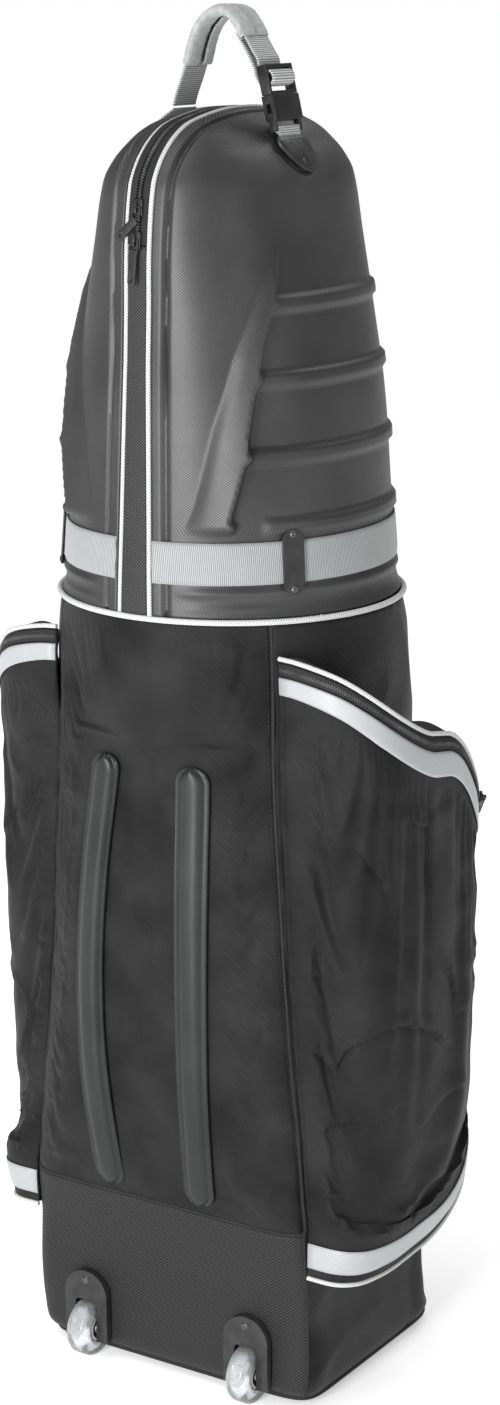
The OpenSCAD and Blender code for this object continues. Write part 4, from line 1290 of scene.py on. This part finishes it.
# ---- Wheels ----
# Clear cast urethane skate wheels on white ribbed cores, with two shielded bearings each,
# turn on steel axles in moulded housings. One rivet holds the top of each housing.
def turned(outline, steps=80):
    """Spins a closed outline of (across, radius) round the axle's line."""
    bm = bmesh.new()
    ring = [bm.verts.new((x * mm, 0, r * mm)) for x, r in outline]
    edges = [bm.edges.new((a, b)) for a, b in zip(ring, ring[1:] + ring[:1])]
    bmesh.ops.spin(bm, geom=ring + edges, cent=(0, 0, 0), axis=(1, 0, 0), angle=2 * math.pi, steps=steps,
                   use_merge=True)
    bmesh.ops.recalc_face_normals(bm, faces=bm.faces)
    return bm


axle_y = -121
axle_z = 30


def on_axle(bm, side):
    bmesh.ops.translate(bm, vec=(side * wheel_x * mm, axle_y * mm, axle_z * mm), verts=bm.verts)
    return bm


urethane, tree, shader = blank_finish("clear_urethane", (0.93, 0.95, 0.96), 0.12, 0.5)
shader.inputs["IOR"].default_value = 1.45
shader.inputs["Transmission Weight"].default_value = 0.85
bubbles = feed(tree, "TexNoise", object_place(tree), None, 160, 4)
shade(tree, shader, "Roughness", bubbles, [(0.35, (0.05,) * 3), (0.75, (0.3,) * 3)])
shade(tree, shader, "Base Color", bubbles, [(0.3, (0.7, 0.73, 0.75)), (0.7, (0.95, 0.97, 0.98))])
emboss(tree, shader, bubbles, 0.8, 0.5)
core_white = mottled("core_white", ((0.66, 0.67, 0.68), 0.4, 0.4), 120, 3,
                     [(0.3, (0.5, 0.51, 0.52)), (0.8, (0.78, 0.79, 0.8))])
steel = mottled("bearing_steel", ((0.5, 0.5, 0.52), 0.28, 0.5), 600, 3,
                [(0.3, (0.36, 0.36, 0.38)), (0.8, (0.6, 0.6, 0.62))], [(0.3, 0.2), (0.8, 0.4)], metallic=1)

crown = [(-5 - 7 * math.sin(math.radians(8 * k)), 23 + 7 * math.cos(math.radians(8 * k)))
         for k in range(11, -1, -1)]
crown += [(-x, r) for x, r in reversed(crown)]
tyre_outline = [(12, 18.1), (-12, 18.1), (-12, 21)] + crown + [(12, 21)]
hub_outline = [(-11, 18), (-11, 15.6), (-3, 15.2), (-2, 14.6), (-2, 13.4), (-4, 13), (-11, 13), (-11, 11.1),
               (-4.1, 11.1), (-4, 9.2), (4, 9.2), (4.1, 11.1), (11, 11.1), (11, 13), (4, 13), (2, 13.4),
               (2, 14.6), (3, 15.2), (11, 15.6), (11, 18)]
for side, at in (("left", -1), ("right", 1)):
    wheel = "wheel_" + side
    piece("tyre_casting_" + side, on_axle(turned(tyre_outline), at), urethane, wheel,
          ["tyre_" + side], crease=50)
    hub = turned(hub_outline)
    for k in range(12):
        place = Matrix.Rotation(math.radians(30 * k), 4, "X") @ Matrix.Translation((0, 0, 14.3 * mm))
        bmesh.ops.create_cube(hub, size=1, matrix=place @ Matrix.Diagonal((21 * mm, 1.1 * mm, 3.4 * mm, 1)))
    piece("wheel_core_" + side, on_axle(hub, at), core_white, wheel, ["hub_" + side])
    shields = []
    for face in (-1, 1):
        a = face * 7.6
        shields.append(turned([(a - 3.4, 4.1), (a - 3.4, 6), (a - 2.8, 6.3), (a - 2.8, 9.2), (a - 3.4, 9.5),
                               (a - 3.4, 10.9), (a + 3.4, 10.9), (a + 3.4, 9.5), (a + 2.8, 9.2), (a + 2.8, 6.3),
                               (a + 3.4, 6), (a + 3.4, 4.1)], 48))
    piece("wheel_bearing_" + side, on_axle(joined(*shields), at), steel, wheel,
          ["bearings_" + side])
    piece("axle_pin_" + side, refined("axle_" + side, 0.6), steel, instead=["axle_" + side])
    piece("wheel_housing_" + side, refined("housing_" + side, 0.9, 3), black_plastic,
          instead=["housing_" + side])
piece("housing_rivet_heads", refined("housing_rivets", 0.5, 3), rivet_finish,
      instead=["housing_rivets"])
